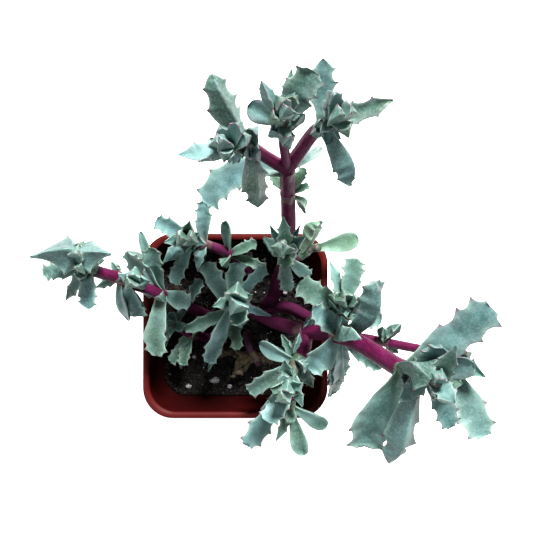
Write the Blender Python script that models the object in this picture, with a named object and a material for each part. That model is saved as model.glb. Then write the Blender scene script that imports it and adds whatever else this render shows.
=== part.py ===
"""A potted ice plant: a bushy succulent in a small square nursery pot.

The plant has magenta stems and thick three-edged leaves with toothed edges, set on the
stems in opposite pairs. Lengths and points are in millimetres and become metres in the meshes.
The origin is the middle of the pot's underside, +Z is up, +Y is the back of the pot.
"""

import math
import random
from collections import namedtuple

import bmesh
import bpy
from mathutils import Matrix, Vector

MM = 0.001
MERGE_DISTANCE = 0.01

# Clearance between pieces that touch on the real plant.
GAP = 0.3

# The pot: a tapered square with rounded corners and a thin rolled lip.
POT_RIM = 54.0
POT_BASE = 40.0
POT_HEIGHT = 52.0
POT_CORNER = 9.0
POT_BASE_CORNER = 6.8
POT_FOOT_ROUNDING = 0.5
POT_WALL = 1.1
POT_FLOOR = 1.4
LIP_DEPTH = 2.6
LIP_STEP = 0.7
LIP_ROUNDING = 0.4
LIP_INSET = 0.8
CORNER_STEPS = 5
DRAIN_RADIUS = 2.5
DRAIN_OFFSET = 11.0

# Cutters have this many sides, and reach this far past what they cut.
CUTTER_SIDES = 12
CUTTER_PAST = 2.0

# The soil fills the pot up to this height, which is a little uneven.
SOIL_TOP = 36.6
SOIL_RINGS = 6
SOIL_BUMP = 0.7
SOIL_CROWN = 0.5
SOIL_SEED = 5
STEM_FOOT = 22.0

# The stems are round tubes, smoothed between their points. Leaves grow from a sheath round
# the stem, or from a tapered core in the head that ends it.
BEVEL_RESOLUTION = 2
STEPS_PER_POINT = 2
SHEATH_WALL = 0.75
SHEATH_HEIGHT = 2.2
CORE_PAST = 2.0
CORE_TAPER = 0.6
CORE_LEAST = 1.0

# A leaf from foot to tip: where along its length each row of corners lies, and the share of
# the half width and of the keel's depth there. Rows where the width jumps up are the teeth.
LeafRow = namedtuple("LeafRow", "along width depth")
WEDGE_ROWS = (
    LeafRow(0.00, 0.42, 0.55),
    LeafRow(0.38, 0.68, 0.80),
    LeafRow(0.56, 0.94, 1.00),
    LeafRow(0.65, 0.80, 0.98),
    LeafRow(0.75, 1.08, 0.94),
    LeafRow(0.84, 0.84, 0.80),
    LeafRow(0.94, 0.98, 0.50),
)
LANCE_ROWS = (
    LeafRow(0.00, 0.40, 0.55),
    LeafRow(0.34, 0.64, 0.85),
    LeafRow(0.49, 0.98, 1.00),
    LeafRow(0.57, 0.85, 0.95),
    LeafRow(0.66, 1.10, 0.86),
    LeafRow(0.74, 0.80, 0.68),
    LeafRow(0.84, 0.82, 0.45),
)
DART_ROWS = (
    LeafRow(0.00, 0.55, 0.70),
    LeafRow(0.28, 0.74, 0.95),
    LeafRow(0.42, 1.05, 1.00),
    LeafRow(0.54, 0.78, 0.86),
    LeafRow(0.67, 0.86, 0.60),
)
WING_ROWS = (
    LeafRow(0.00, 0.50, 0.70),
    LeafRow(0.22, 0.74, 0.95),
    LeafRow(0.40, 1.08, 1.00),
    LeafRow(0.56, 0.68, 0.80),
    LeafRow(0.78, 0.40, 0.50),
)
PAD_ROWS = (
    LeafRow(0.00, 0.40, 0.55),
    LeafRow(0.30, 0.54, 0.78),
    LeafRow(0.55, 0.86, 1.00),
    LeafRow(0.76, 1.00, 0.86),
    LeafRow(0.93, 0.72, 0.42),
)
YOUNG_ROWS = (
    LeafRow(0.00, 0.60, 0.80),
    LeafRow(0.45, 0.95, 1.00),
    LeafRow(0.84, 1.02, 1.00),
)
FLARE_ROWS = (
    LeafRow(0.00, 0.36, 0.50),
    LeafRow(0.40, 0.40, 0.52),
    LeafRow(0.66, 0.62, 0.66),
    LeafRow(0.84, 1.06, 0.80),
    LeafRow(0.93, 0.96, 0.55),
)

# The left edge's teeth lie a little further out than the right's, and the keel's nearer in.
LEFT_EDGE_LEAD = 0.03
KEEL_LAG = 0.03
KEEL_SHARE = 0.42
KEEL_LEAST = 1.3

# How much a leaf's flat side turns from its stem's direction to the light, how far its middle
# rises, and where. A leaf this nearly in line with its stem takes any side.
FACE_LIFT = 0.8
LEAF_RISE = 0.12
LEAF_BEND_AT = 0.45
IN_LINE = 0.15

# Faces that a cut split are merged again where they meet flatter than this.
FLAT_ANGLE = math.radians(0.5)

# Each closing pair of a head: how far its leaves lean out, and their share of the bud's length.
CLOSING_PAIRS = ((24.0, 0.84), (4.5, 1.0))
CLOSING_WIDTH = 0.42

Run = namedtuple("Run", "radii points")
Tier = namedtuple("Tier", "at leaves")
Cluster = namedtuple("Cluster", "tiers bud closing")
Leaf = namedtuple("Leaf", "tip width rows bow roll")


def wedge(x, y, z, width, bow=(0, 0, 0), roll=0):
    """A leaf that widens to near its blunt end."""
    return Leaf((x, y, z), width, WEDGE_ROWS, bow, roll)


def lance(x, y, z, width, bow=(0, 0, 0), roll=0):
    """A leaf that is widest past its middle and ends in a point."""
    return Leaf((x, y, z), width, LANCE_ROWS, bow, roll)


def dart(x, y, z, width, bow=(0, 0, 0), roll=0):
    """A leaf that is widest near its middle and tapers to a long point."""
    return Leaf((x, y, z), width, DART_ROWS, bow, roll)


def wing(x, y, z, width, bow=(0, 0, 0), roll=0):
    """A leaf with one broad tooth on each side and a long hollow point."""
    return Leaf((x, y, z), width, WING_ROWS, bow, roll)


def pad(x, y, z, width, bow=(0, 0, 0), roll=0):
    """A leaf with a round end and no teeth."""
    return Leaf((x, y, z), width, PAD_ROWS, bow, roll)


def flare(x, y, z, width, bow=(0, 0, 0), roll=0):
    """A leaf that stays narrow and then widens at once, near its blunt end."""
    return Leaf((x, y, z), width, FLARE_ROWS, bow, roll)


def young(x, y, z, width, roll=0):
    """A short plump leaf of a head that is still closed."""
    return Leaf((x, y, z), width, YOUNG_ROWS, (0, 0, 0), roll)


# Every stem network, as runs of points with a radius at each end. The first run of each
# stands in the soil.
STEMS = {
    "back_stem": (
        Run((2.1, 2.0), ((9, 5, STEM_FOOT), (9, 5, 40), (11, 8, 46))),
        Run((2.0, 1.8), ((11, 8, 46), (14, 15, 55), (15, 26, 66), (14.5, 35, 76), (14, 40, 86))),
        Run((1.5, 1.3), ((14, 40, 86), (9, 42, 91), (6, 43.5, 95))),
        Run((1.1, 1.0), ((14, 40, 86), (12.8, 43.5, 96), (12.4, 45.4, 101))),
        Run((1.6, 1.5), ((14, 40, 86), (19, 46, 95), (20.6, 46.8, 98))),
        Run((1.6, 1.4), ((11, 8, 46), (12, 13, 56), (13.4, 18, 64), (13.6, 19.5, 68))),
        Run((1.2, 1.0), ((12, 13, 56), (16, 18, 59), (18, 20, 60))),
        Run((1.8, 1.5), ((9, 5, 41), (16, 5, 48), (22, 2.5, 55), (26.5, 2, 62), (30, 4.5, 68))),
    ),
    "centre_stem": (
        Run((2.0, 1.9), ((0, 4, STEM_FOOT), (0, 4, 41))),
        Run((1.7, 1.5), ((0, 4, 39), (-1, 5.5, 52), (0, 7, 59))),
        Run((1.8, 1.9), ((0, 4, 40), (4, 4.5, 46), (10, 2, 54), (18, 0, 62))),
        Run((1.9, 2.2), ((18, 0, 62), (28, -0.5, 72), (32, -1.5, 78), (39, -5.5, 88), (41, -6, 91))),
        Run((1.2, 1.1), ((28, -0.5, 72), (34, -1, 72), (40, -2, 74), (47, -3, 78), (50, -3.5, 79))),
        Run((1.7, 1.6), ((20, -0.3, 64), (19.3, -5, 65.5), (17.5, -8, 66.5))),
        Run((1.2, 1.1), ((18.6, -7, 65.5), (17, -15, 61), (15.8, -21.5, 60))),
    ),
    "west_stem": (
        Run((1.7, 1.6), ((-7, 1, STEM_FOOT), (-7, 1, 40))),
        Run((1.6, 1.6), ((-7, 1, 39), (-13, 5, 49), (-20, 9.5, 60), (-27, 13, 66))),
        Run((1.6, 1.5), ((-27, 13, 66), (-30, 14.5, 69), (-34, 16, 73), (-35.7, 17, 75.5))),
    ),
    "northwest_stem": (
        Run((1.6, 1.5), ((3, 16, STEM_FOOT), (3, 16, 40))),
        Run((1.5, 1.4), ((3, 16, 39), (-1.5, 21, 50), (-10, 24, 58), (-11.5, 24.5, 62))),
    ),
    "southwest_stem": (
        Run((1.5, 1.4), ((-10, -5, STEM_FOOT), (-10, -5, 40))),
        Run((1.4, 1.3), ((-10, -5, 39), (-14, -3, 46), (-18, 0, 49.5))),
    ),
    "old_stem": (
        Run((1.4, 1.3), ((3, -4, STEM_FOOT), (3, -4, 40))),
        Run((1.3, 1.1), ((3, -4, 39), (4.2, -8, 42.5), (7, -13, 41.5))),
    ),
}

# Every cluster of leaves: its tiers from the lowest up, each a point on the stem and the
# tip and width of every leaf there. A head ends in a bud; a cluster without one sheathes a
# stem that runs on through it.
LEAVES = {
    "back_main_leaves": Cluster(
        (
            Tier(
                (14, 39.6, 85),
                (
                    wedge(-6, 32.6, 79, 8, bow=(-2.5, 6.5, 0), roll=-12),
                    pad(22.2, 45.6, 84, 2.6),
                ),
            ),
        ),
        None, 0,
    ),
    "back_small_leaves": Cluster(
        (
            Tier(
                (14.4, 35.2, 76.4),
                (
                    wedge(10.2, 39.4, 80, 2.6),
                    wedge(18.5, 41.3, 80, 2.8),
                    pad(19.1, 31.5, 70, 3, bow=(3.5, 0.5, 1)),
                    wedge(19.6, 37.6, 77, 2.6),
                ),
            ),
        ),
        None, 0,
    ),
    "back_left_head": Cluster(
        (
            Tier(
                (5.9, 43.5, 95),
                (
                    lance(-1.9, 55.7, 106, 6.2, bow=(-3, 0, 0), roll=-152),
                    lance(7.2, 30.6, 92, 6.2, roll=155),
                ),
            ),
            Tier((4.4, 42.7, 98), (dart(1.7, 39.6, 95, 2.6), dart(6, 40, 98, 2.6))),
            Tier((1.9, 42.3, 101), (dart(-9.3, 40.4, 102, 5.2, roll=32), young(3.3, 45, 108, 3.4))),
        ),
        (-0.2, 42.2, 108), 2,
    ),
    "back_centre_head": Cluster(
        (
            Tier(
                (12.6, 45.5, 100.9),
                (
                    dart(10, 44.4, 106, 3.2),
                    dart(16.6, 47.2, 108, 3.4),
                    dart(14.1, 42, 99, 3.2),
                ),
            ),
            Tier(
                (12.5, 46, 102.9),
                (pad(5.4, 49, 107, 4.6, roll=-34), wedge(17.8, 54.6, 111, 7.2, roll=16)),
            ),
            Tier((12.5, 47, 105.9), (dart(8.1, 52.2, 113, 3.2, roll=30), dart(13.9, 55.6, 109, 3.6))),
        ),
        (12.6, 47.6, 113.5), 2,
    ),
    "back_right_head": Cluster(
        (
            Tier(
                (20.7, 46.8, 98),
                (
                    lance(20.5, 59.4, 104, 5.8, roll=-12),
                    lance(27.1, 34.8, 96, 5.8, bow=(1, -1, 0), roll=165),
                ),
            ),
            Tier((21.6, 46.8, 99.5), (dart(25, 44.4, 98, 2.6), dart(21.6, 42.6, 101, 2.6))),
            Tier((22.6, 47.3, 102), (dart(35.3, 51.7, 102, 5, roll=20), young(22.2, 50.2, 111, 3.2))),
        ),
        (24.4, 47, 111), 2,
    ),
    "middle_head": Cluster(
        (
            Tier(
                (13.6, 19.5, 68.1),
                (
                    wedge(14.9, 10.8, 66, 4.6, roll=20),
                    wedge(20.6, 14.8, 69, 3.6),
                    dart(10, 27.7, 76, 3.2),
                    dart(17.5, 27.6, 76, 3.2),
                ),
            ),
            Tier((13.6, 20.5, 73.1), (dart(8.4, 24.4, 82, 3.8), dart(18.4, 24.6, 82, 3.8))),
            Tier((13.6, 21.3, 77.1), (wedge(14.1, 17.2, 80, 4.6), dart(13.1, 29.3, 82, 4))),
        ),
        (13.3, 22, 87), 1,
    ),
    "middle_side_leaves": Cluster(
        (
            Tier((19.6, 21, 60.4), (wedge(23.8, 29.4, 65, 6.6, roll=24),)),
            Tier((22, 22.4, 61), (pad(34.4, 25, 62, 5.4),)),
        ),
        (27, 22, 66), 0,
    ),
    "right_upper_head": Cluster(
        (
            Tier((29.8, 4.6, 68.2), (wedge(17.2, 12.8, 74, 6.8, roll=-16), wedge(38, 4, 75, 5.6, roll=18))),
            Tier((29.6, 6.6, 73.2), (dart(32.6, 9.8, 83, 3.8), dart(24.4, 9.6, 80, 3.4))),
            Tier((28.8, 8.6, 77.2), (wedge(30.4, 19.4, 81, 5.6, roll=-10), dart(24.8, 18.6, 77, 3.8))),
        ),
        (27.6, 10, 85), 2,
    ),
    "right_node_leaves": Cluster(
        (
            Tier(
                (27.7, 0.1, 72.7),
                (
                    wedge(20.2, -9.8, 71, 7.2),
                    wedge(28.9, -14.6, 61, 5.8),
                    wedge(28.2, -19.4, 55.5, 5),
                    wedge(34.4, 14.2, 85, 6.8, bow=(2.6, -0.5, 0), roll=-160),
                    wedge(20.8, 7.2, 79, 6.2),
                    lance(39.6, -9.6, 68, 4, bow=(-1, -2.5, -2)),
                    dart(31.9, 0.4, 84, 4.6, bow=(-2, 1.5, 4)),
                    dart(27.4, 5.2, 82, 3.6),
                ),
            ),
        ),
        None, 0,
    ),
    "right_head": Cluster(
        (
            Tier(
                (40.7, -6.1, 90.4),
                (
                    wedge(32.3, -25.7, 85, 10.2, bow=(-4, 0, 0)),
                    wedge(57.4, 8.6, 97, 10.4),
                    flare(42.4, -5.6, 104, 9.2, bow=(-3.2, 2.6, 1.5), roll=-10),
                ),
            ),
            Tier(
                (42.3, -6.3, 93.4),
                (lance(37.5, -28, 87, 7.4, roll=-168), wedge(45, 0.2, 102.8, 6.4, roll=-24)),
            ),
            Tier(
                (43.7, -6.7, 96.4),
                (
                    wedge(49.6, -17.6, 94.8, 5, roll=20),
                    pad(51.2, -2.4, 103.3, 5.4),
                    dart(37.4, -11.6, 97, 5),
                ),
            ),
            Tier(
                (44.7, -6.9, 98.9),
                (
                    dart(46.4, 1.6, 107, 5),
                    dart(46.8, -9.9, 105, 5.4),
                    dart(49.8, -6.8, 101.2, 5.5),
                ),
            ),
        ),
        (43.9, -5, 105), 1,
    ),
    "far_right_head": Cluster(
        (
            Tier((50.5, -3.6, 79.7), (wedge(60.3, -22.2, 86, 8, roll=10), dart(56, 4.6, 84, 4))),
            Tier((51.5, -3.8, 83.2), (dart(58.6, -7.6, 90, 6), dart(52, -12, 89, 4.4))),
        ),
        (53.6, -3.6, 92), 1,
    ),
    "branch_leaves": Cluster(
        (
            Tier(
                (39, -1.8, 74),
                (dart(42.2, 3.2, 79, 3), dart(37.6, 2.6, 79, 2.6), dart(43, -5, 72, 2.6)),
            ),
        ),
        None, 0,
    ),
    "fork_leaves": Cluster(
        (
            Tier(
                (18.8, -0.1, 62.9),
                (
                    dart(16.2, -5.8, 67, 2, bow=(0, 0, 2.5)),
                    dart(21.5, 4.3, 67, 2, bow=(0, 0, 2.5)),
                ),
            ),
        ),
        None, 0,
    ),
    "centre_low_leaves": Cluster(
        (
            Tier(
                (-0.4, 4.5, 46),
                (
                    dart(-8.6, -14.6, 46, 4.4),
                    wedge(-14.2, -1.4, 54, 4.6, roll=-14),
                    wedge(0.4, -7.2, 51, 4.4),
                ),
            ),
        ),
        None, 0,
    ),
    "centre_high_leaves": Cluster(
        (
            Tier(
                (-1.2, 5.6, 53),
                (wedge(-7.6, -10, 57, 5.2, roll=10), wedge(-7.3, 18.2, 64, 6.2, roll=-14)),
            ),
        ),
        None, 0,
    ),
    "centre_head": Cluster(
        (
            Tier(
                (-0.3, 7.1, 59.1),
                (
                    wedge(8.6, 17.2, 66, 4.2),
                    wedge(1.2, 18.4, 61, 5.6),
                    dart(10.6, 3.6, 61, 3),
                ),
            ),
            Tier((0.5, 8.1, 64.1), (wedge(2.5, 3, 77, 5), dart(1.6, 13, 78, 3.8))),
            Tier((0.9, 8.7, 68.1), (dart(-4.2, 7.5, 78, 3.8), dart(5.3, 10.5, 79, 3.6))),
        ),
        (2, 9.6, 82), 1,
    ),
    "front_head": Cluster(
        (
            Tier(
                (17.2, -8.1, 66.8),
                (
                    wedge(4, -17.6, 60, 5.4),
                    pad(7.2, -3.8, 63, 5),
                    dart(13.2, -1.2, 62, 3.4),
                    dart(21.8, -16, 62, 4.6),
                ),
            ),
            Tier((15.7, -10.6, 69.3), (wedge(4, -30, 68, 6.2, roll=-12), dart(18.6, -19.4, 69, 3.8))),
            Tier((14.7, -12.4, 72.3), (wedge(9.3, -20.9, 78, 6.2, roll=8), dart(13.6, -6, 78, 4.4))),
            Tier((14.1, -13.3, 75.3), (dart(10, -12, 81, 3.8), dart(17.6, -11, 81, 3.8))),
        ),
        (13.6, -12.8, 85), 1,
    ),
    "front_low_leaves": Cluster(
        (
            Tier(
                (15.8, -21.5, 60),
                (
                    pad(19.3, -36, 58, 5),
                    pad(26.2, -27.8, 58, 4.8),
                    dart(11.7, -31.1, 60, 3.4),
                ),
            ),
        ),
        (15.6, -25, 64), 1,
    ),
    "west_low_leaves": Cluster(
        (
            Tier(
                (-20, 9.7, 59.6),
                (
                    wedge(-28, 21.3, 67, 6.4, roll=-22),
                    wedge(-21, 22, 69, 6.6, roll=24),
                    wedge(-21, -7.2, 62, 8.7, roll=10),
                    wedge(-11.6, 7.4, 62.4, 5.4),
                    pad(-26.3, 27.2, 59, 3.4),
                ),
            ),
        ),
        None, 0,
    ),
    "west_bud": Cluster(
        (
            Tier((-24.4, 13.4, 70), (dart(-27.4, 15.4, 78, 3.4), dart(-20.8, 14, 78, 3.4))),
        ),
        (-24, 14.4, 79), 1,
    ),
    "west_middle_leaves": Cluster(
        (
            Tier(
                (-29.5, 14.4, 68.8),
                (
                    wedge(-25.2, 3.8, 65.5, 6, bow=(2.3, -1.5, -2)),
                    pad(-29, 2.4, 62.4, 4.3),
                    dart(-36.6, 11.7, 66, 3),
                ),
            ),
        ),
        None, 0,
    ),
    "west_head": Cluster(
        (
            Tier(
                (-35.7, 17.2, 75.7),
                (
                    wedge(-47.4, 15.6, 75, 4.6),
                    lance(-35.6, 6.6, 76, 5.8, roll=14),
                    dart(-42.6, 8.6, 72, 4),
                ),
            ),
            Tier(
                (-36.3, 18.5, 79.2),
                (
                    wing(-46, 19.4, 86, 9.6, bow=(1, 2.2, 0), roll=-172),
                    wing(-27.2, 20.2, 85, 8.2, bow=(0, 2.2, 0), roll=172),
                ),
            ),
        ),
        (-34.6, 20.4, 87), 2,
    ),
    "northwest_low_leaves": Cluster(
        (
            Tier(
                (-2, 20.8, 50),
                (
                    pad(-2.2, 30, 60, 3.4),
                    wedge(6, 24.2, 58, 4),
                    dart(-3.6, 17.5, 57, 3.6),
                    wedge(9, 16.6, 55, 3.4),
                ),
            ),
        ),
        None, 0,
    ),
    "northwest_high_leaves": Cluster(
        (
            Tier((-8.5, 23.6, 56.9), (wedge(-8, 35.2, 62, 5.2, roll=16), dart(-10, 16, 60, 4))),
        ),
        None, 0,
    ),
    "northwest_head": Cluster(
        (
            Tier(
                (-11.5, 24.5, 62),
                (
                    wedge(-20.6, 29.6, 66, 5.2, roll=-16),
                    wedge(-16.8, 12.6, 61, 4.8, roll=12),
                    dart(-19.3, 18.5, 62, 4.4),
                ),
            ),
            Tier(
                (-11.7, 24.8, 66),
                (
                    dart(-6.7, 23, 72, 4),
                    dart(-17.4, 23.6, 71, 4.6),
                ),
            ),
            Tier((-11.4, 24.8, 70), (dart(-10, 28.3, 78, 4), dart(-11.3, 20.8, 77, 4))),
        ),
        (-10.6, 24.4, 80), 1,
    ),
    "southwest_low_leaves": Cluster(
        (
            Tier((-13.6, -3.3, 45.6), (wedge(-16, -12, 49, 4.8), wedge(-20, -11.5, 46, 4.8))),
        ),
        None, 0,
    ),
    "southwest_head": Cluster(
        (
            Tier((-18, 0, 49.5), (dart(-24, -6, 51, 4.4), wedge(-10.6, 13.4, 45, 4.4, bow=(0, 0, -4)))),
        ),
        (-20, 2, 55), 1,
    ),
    "withered_leaves": Cluster(
        (
            Tier(
                (5.7, -10.6, 42.5),
                (
                    wedge(-7, -9, 42, 4),
                    dart(12.5, -11.5, 42, 3.5),
                    dart(-3, -17, 41, 3.6),
                ),
            ),
        ),
        None, 0,
    ),
}

LEAF_COLOUR = (0.29, 0.45, 0.41)
STEM_COLOUR = (0.17, 0.012, 0.075)
OLD_STEM_COLOUR = (0.10, 0.045, 0.05)
WITHERED_COLOUR = (0.30, 0.20, 0.08)
POT_COLOUR = (0.12, 0.008, 0.006)
SOIL_COLOUR = (0.016, 0.010, 0.008)


def clear_scene():
    for obj in list(bpy.data.objects):
        bpy.data.objects.remove(obj, do_unlink=True)


def new_collection(name, parent=None):
    collection = bpy.data.collections.new(name)
    (parent or bpy.context.scene.collection).children.link(collection)
    return collection


def plain_material(name, colour, roughness):
    material = bpy.data.materials.new(name)
    material.use_nodes = True
    shader = material.node_tree.nodes["Principled BSDF"]
    shader.inputs["Base Color"].default_value = (*colour, 1.0)
    shader.inputs["Roughness"].default_value = roughness
    material.diffuse_color = (*colour, 1.0)
    return material


def add_object(name, mesh, collection):
    obj = bpy.data.objects.new(name, mesh)
    collection.objects.link(obj)
    return obj


def mesh_from_rings(name, rings, tip=None):
    """A closed mesh through rings of equal length, in millimetres, ended by flat caps or a tip."""
    mesh = bmesh.new()
    rows = [[mesh.verts.new(Vector(point) * MM) for point in ring] for ring in rings]
    for lower, upper in zip(rows, rows[1:]):
        for i in range(len(lower)):
            j = (i + 1) % len(lower)
            mesh.faces.new((lower[i], lower[j], upper[j], upper[i]))
    mesh.faces.new(rows[0][::-1])
    if tip is None:
        mesh.faces.new(rows[-1])
    else:
        point = mesh.verts.new(Vector(tip) * MM)
        for i in range(len(rows[-1])):
            mesh.faces.new((rows[-1][i], rows[-1][(i + 1) % len(rows[-1])], point))
    bmesh.ops.recalc_face_normals(mesh, faces=mesh.faces)
    data = bpy.data.meshes.new(name)
    mesh.to_mesh(data)
    mesh.free()
    return data


def rounded_square(side, corner, height):
    """The points of a rounded square, round the z axis, counter-clockwise."""
    half = side / 2
    points = []
    for quarter in range(4):
        turn = quarter * math.pi / 2
        centre = Vector((half - corner, half - corner))
        for step in range(CORNER_STEPS + 1):
            angle = step / CORNER_STEPS * math.pi / 2
            x = centre.x + corner * math.cos(angle)
            y = centre.y + corner * math.sin(angle)
            points.append(
                (
                    x * math.cos(turn) - y * math.sin(turn),
                    x * math.sin(turn) + y * math.cos(turn),
                    height,
                )
            )
    return points


def pot_side(height):
    """The pot's outer width at a height, below the lip."""
    body = POT_RIM - 2 * LIP_STEP
    return POT_BASE + (body - POT_BASE) * height / POT_HEIGHT


def pot_corner(height):
    return POT_BASE_CORNER + (POT_CORNER - POT_BASE_CORNER) * height / POT_HEIGHT


def pot_ring(height, inset=0.0):
    return rounded_square(pot_side(height) - 2 * inset, pot_corner(height) - inset, height)


def apply_boolean(obj, operation, other=None, collection=None):
    """Joins or cuts leaves or stems, and leaves a plain mesh. The exact solver leaves some open."""
    modifier = obj.modifiers.new("boolean", "BOOLEAN")
    modifier.operation = operation
    modifier.solver = "MANIFOLD"
    if collection is None:
        modifier.object = other
    else:
        modifier.operand_type = "COLLECTION"
        modifier.collection = collection
    graph = bpy.context.evaluated_depsgraph_get()
    result = bpy.data.meshes.new_from_object(obj.evaluated_get(graph))
    obj.modifiers.clear()
    obj.data = result


def remove_objects(objects):
    for obj in list(objects):
        bpy.data.objects.remove(obj, do_unlink=True)


def upright_cylinder(name, x, y, bottom, top, radius, collection):
    mesh = bmesh.new()
    bmesh.ops.create_cone(
        mesh, cap_ends=True, segments=CUTTER_SIDES,
        radius1=radius * MM, radius2=radius * MM, depth=(top - bottom) * MM,
    )
    bmesh.ops.translate(mesh, verts=mesh.verts, vec=Vector((x, y, (top + bottom) / 2)) * MM)
    data = bpy.data.meshes.new(name)
    mesh.to_mesh(data)
    mesh.free()
    cutter = add_object(name, data, collection)
    cutter.hide_render = True
    cutter.display_type = "WIRE"
    return cutter


def make_pot(parts, cutters):
    """One shell: up the outside, over the lip and down the inside, with four drain holes."""
    lip_low = POT_HEIGHT - LIP_DEPTH
    lip_top = rounded_square(POT_RIM - 2 * LIP_ROUNDING, POT_CORNER - LIP_ROUNDING, POT_HEIGHT)
    foot = rounded_square(
        POT_BASE - 2 * POT_FOOT_ROUNDING, POT_BASE_CORNER - POT_FOOT_ROUNDING, 0.0
    )
    rings = [
        foot,
        pot_ring(POT_FOOT_ROUNDING),
        pot_ring(lip_low - LIP_STEP),
        rounded_square(POT_RIM, POT_CORNER, lip_low),
        rounded_square(POT_RIM, POT_CORNER, POT_HEIGHT - LIP_ROUNDING),
        lip_top,
        pot_ring(POT_HEIGHT, LIP_INSET),
        pot_ring(POT_HEIGHT - LIP_ROUNDING, POT_WALL),
        pot_ring(POT_FLOOR, POT_WALL),
    ]
    pot = add_object("pot", mesh_from_rings("pot", rings), parts)
    pot.data.materials.append(plain_material("pot_plastic", POT_COLOUR, 0.4))
    for i, (x, y) in enumerate(((1, 1), (-1, 1), (-1, -1), (1, -1))):
        hole = upright_cylinder(
            f"drain_hole_{i + 1}", x * DRAIN_OFFSET, y * DRAIN_OFFSET,
            -CUTTER_PAST, POT_FLOOR + CUTTER_PAST, DRAIN_RADIUS, cutters,
        )
        modifier = pot.modifiers.new(hole.name, "BOOLEAN")
        modifier.operation = "DIFFERENCE"
        modifier.object = hole
    return pot


def make_soil(parts, cutters):
    """The block of potting soil, with an uneven top and a plain hole for each stem."""
    chance = random.Random(SOIL_SEED)
    inset = POT_WALL + GAP
    low = POT_FLOOR + GAP
    rings = [pot_ring(low, inset), pot_ring(SOIL_TOP, inset)]
    for i in range(1, SOIL_RINGS):
        share = 1 - i / SOIL_RINGS
        ring = []
        for x, y, _ in pot_ring(SOIL_TOP, inset):
            bump = chance.uniform(-SOIL_BUMP, SOIL_BUMP)
            ring.append((x * share, y * share, SOIL_TOP + SOIL_CROWN * (1 - share) + bump))
        rings.append(ring)
    middle = (0, 0, SOIL_TOP + SOIL_CROWN)
    soil = add_object("soil", mesh_from_rings("soil", rings, middle), parts)
    soil.data.materials.append(plain_material("potting_soil", SOIL_COLOUR, 0.95))
    for name, runs in STEMS.items():
        x, y, foot = runs[0].points[0]
        hole = upright_cylinder(
            f"hole_for_{name}", x, y, foot - GAP, SOIL_TOP + CUTTER_PAST,
            runs[0].radii[0] + 2 * GAP, cutters,
        )
        modifier = soil.modifiers.new(hole.name, "BOOLEAN")
        modifier.operation = "DIFFERENCE"
        modifier.object = hole
    return soil


def smooth_line(points):
    """Points on a smooth line through the given ones."""
    line = [Vector(point) for point in points]
    if len(line) < 3:
        return line
    ends = [2 * line[0] - line[1], *line, 2 * line[-1] - line[-2]]
    smooth = []
    for a, b, c, d in zip(ends, ends[1:], ends[2:], ends[3:]):
        for step in range(STEPS_PER_POINT):
            t = step / STEPS_PER_POINT
            smooth.append(
                0.5 * (2 * b + (c - a) * t + (2 * a - 5 * b + 4 * c - d) * t**2
                       + (3 * b - a - 3 * c + d) * t**3)
            )
    return [*smooth, line[-1]]


def tube(name, run, extra, collection, smooth=True):
    """A stem run as a solid tube, grown by the extra radius and lengthened by as much."""
    line = smooth_line(run.points) if smooth else [Vector(point) for point in run.points]
    if extra:
        line[0] = line[0] - (line[1] - line[0]).normalized() * extra
        line[-1] = line[-1] + (line[-1] - line[-2]).normalized() * extra
    curve = bpy.data.curves.new(name, "CURVE")
    curve.dimensions = "3D"
    curve.bevel_depth = MM
    curve.bevel_resolution = BEVEL_RESOLUTION
    curve.use_fill_caps = True
    spline = curve.splines.new("POLY")
    spline.points.add(len(line) - 1)
    first, last = run.radii
    for i, point in enumerate(line):
        spline.points[i].co = (*(point * MM), 1.0)
        spline.points[i].radius = first + (last - first) * i / (len(line) - 1) + extra
    holder = add_object(name, curve, collection)
    graph = bpy.context.evaluated_depsgraph_get()
    data = bpy.data.meshes.new_from_object(holder.evaluated_get(graph))
    bpy.data.objects.remove(holder, do_unlink=True)
    mesh = bmesh.new()
    mesh.from_mesh(data)
    bmesh.ops.remove_doubles(mesh, verts=mesh.verts, dist=MERGE_DISTANCE * MM)
    bmesh.ops.recalc_face_normals(mesh, faces=mesh.faces)
    mesh.to_mesh(data)
    mesh.free()
    return add_object(name, data, collection)


def joined(name, pieces):
    """One object from several overlapping solids, with one union on their collection."""
    first, *others = pieces
    rest = new_collection("joining")
    for obj in others:
        for holder in list(obj.users_collection):
            holder.objects.unlink(obj)
        rest.objects.link(obj)
    if others:
        apply_boolean(first, "UNION", collection=rest)
    remove_objects(rest.objects)
    bpy.data.collections.remove(rest)
    first.name = name
    return first


def keep_largest_body(obj):
    """Drops the loose scraps that a cut leaves."""
    mesh = bmesh.new()
    mesh.from_mesh(obj.data)
    unseen = set(mesh.verts)
    bodies = []
    while unseen:
        body = set()
        front = [unseen.pop()]
        while front:
            vert = front.pop()
            body.add(vert)
            for edge in vert.link_edges:
                other = edge.other_vert(vert)
                if other in unseen:
                    unseen.discard(other)
                    front.append(other)
        bodies.append(body)
    bodies.sort(key=body_size)
    for body in bodies[:-1]:
        bmesh.ops.delete(mesh, geom=list(body), context="VERTS")
    bmesh.ops.dissolve_limit(
        mesh, angle_limit=FLAT_ANGLE, verts=mesh.verts, edges=mesh.edges, delimit=set()
    )
    bmesh.ops.triangulate(mesh, faces=mesh.faces)
    mesh.to_mesh(obj.data)
    mesh.free()


def body_size(body):
    """The length of the diagonal of the box round some vertices."""
    low = Vector([min(vert.co[axis] for vert in body) for axis in range(3)])
    high = Vector([max(vert.co[axis] for vert in body) for axis in range(3)])
    return (high - low).length


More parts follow.
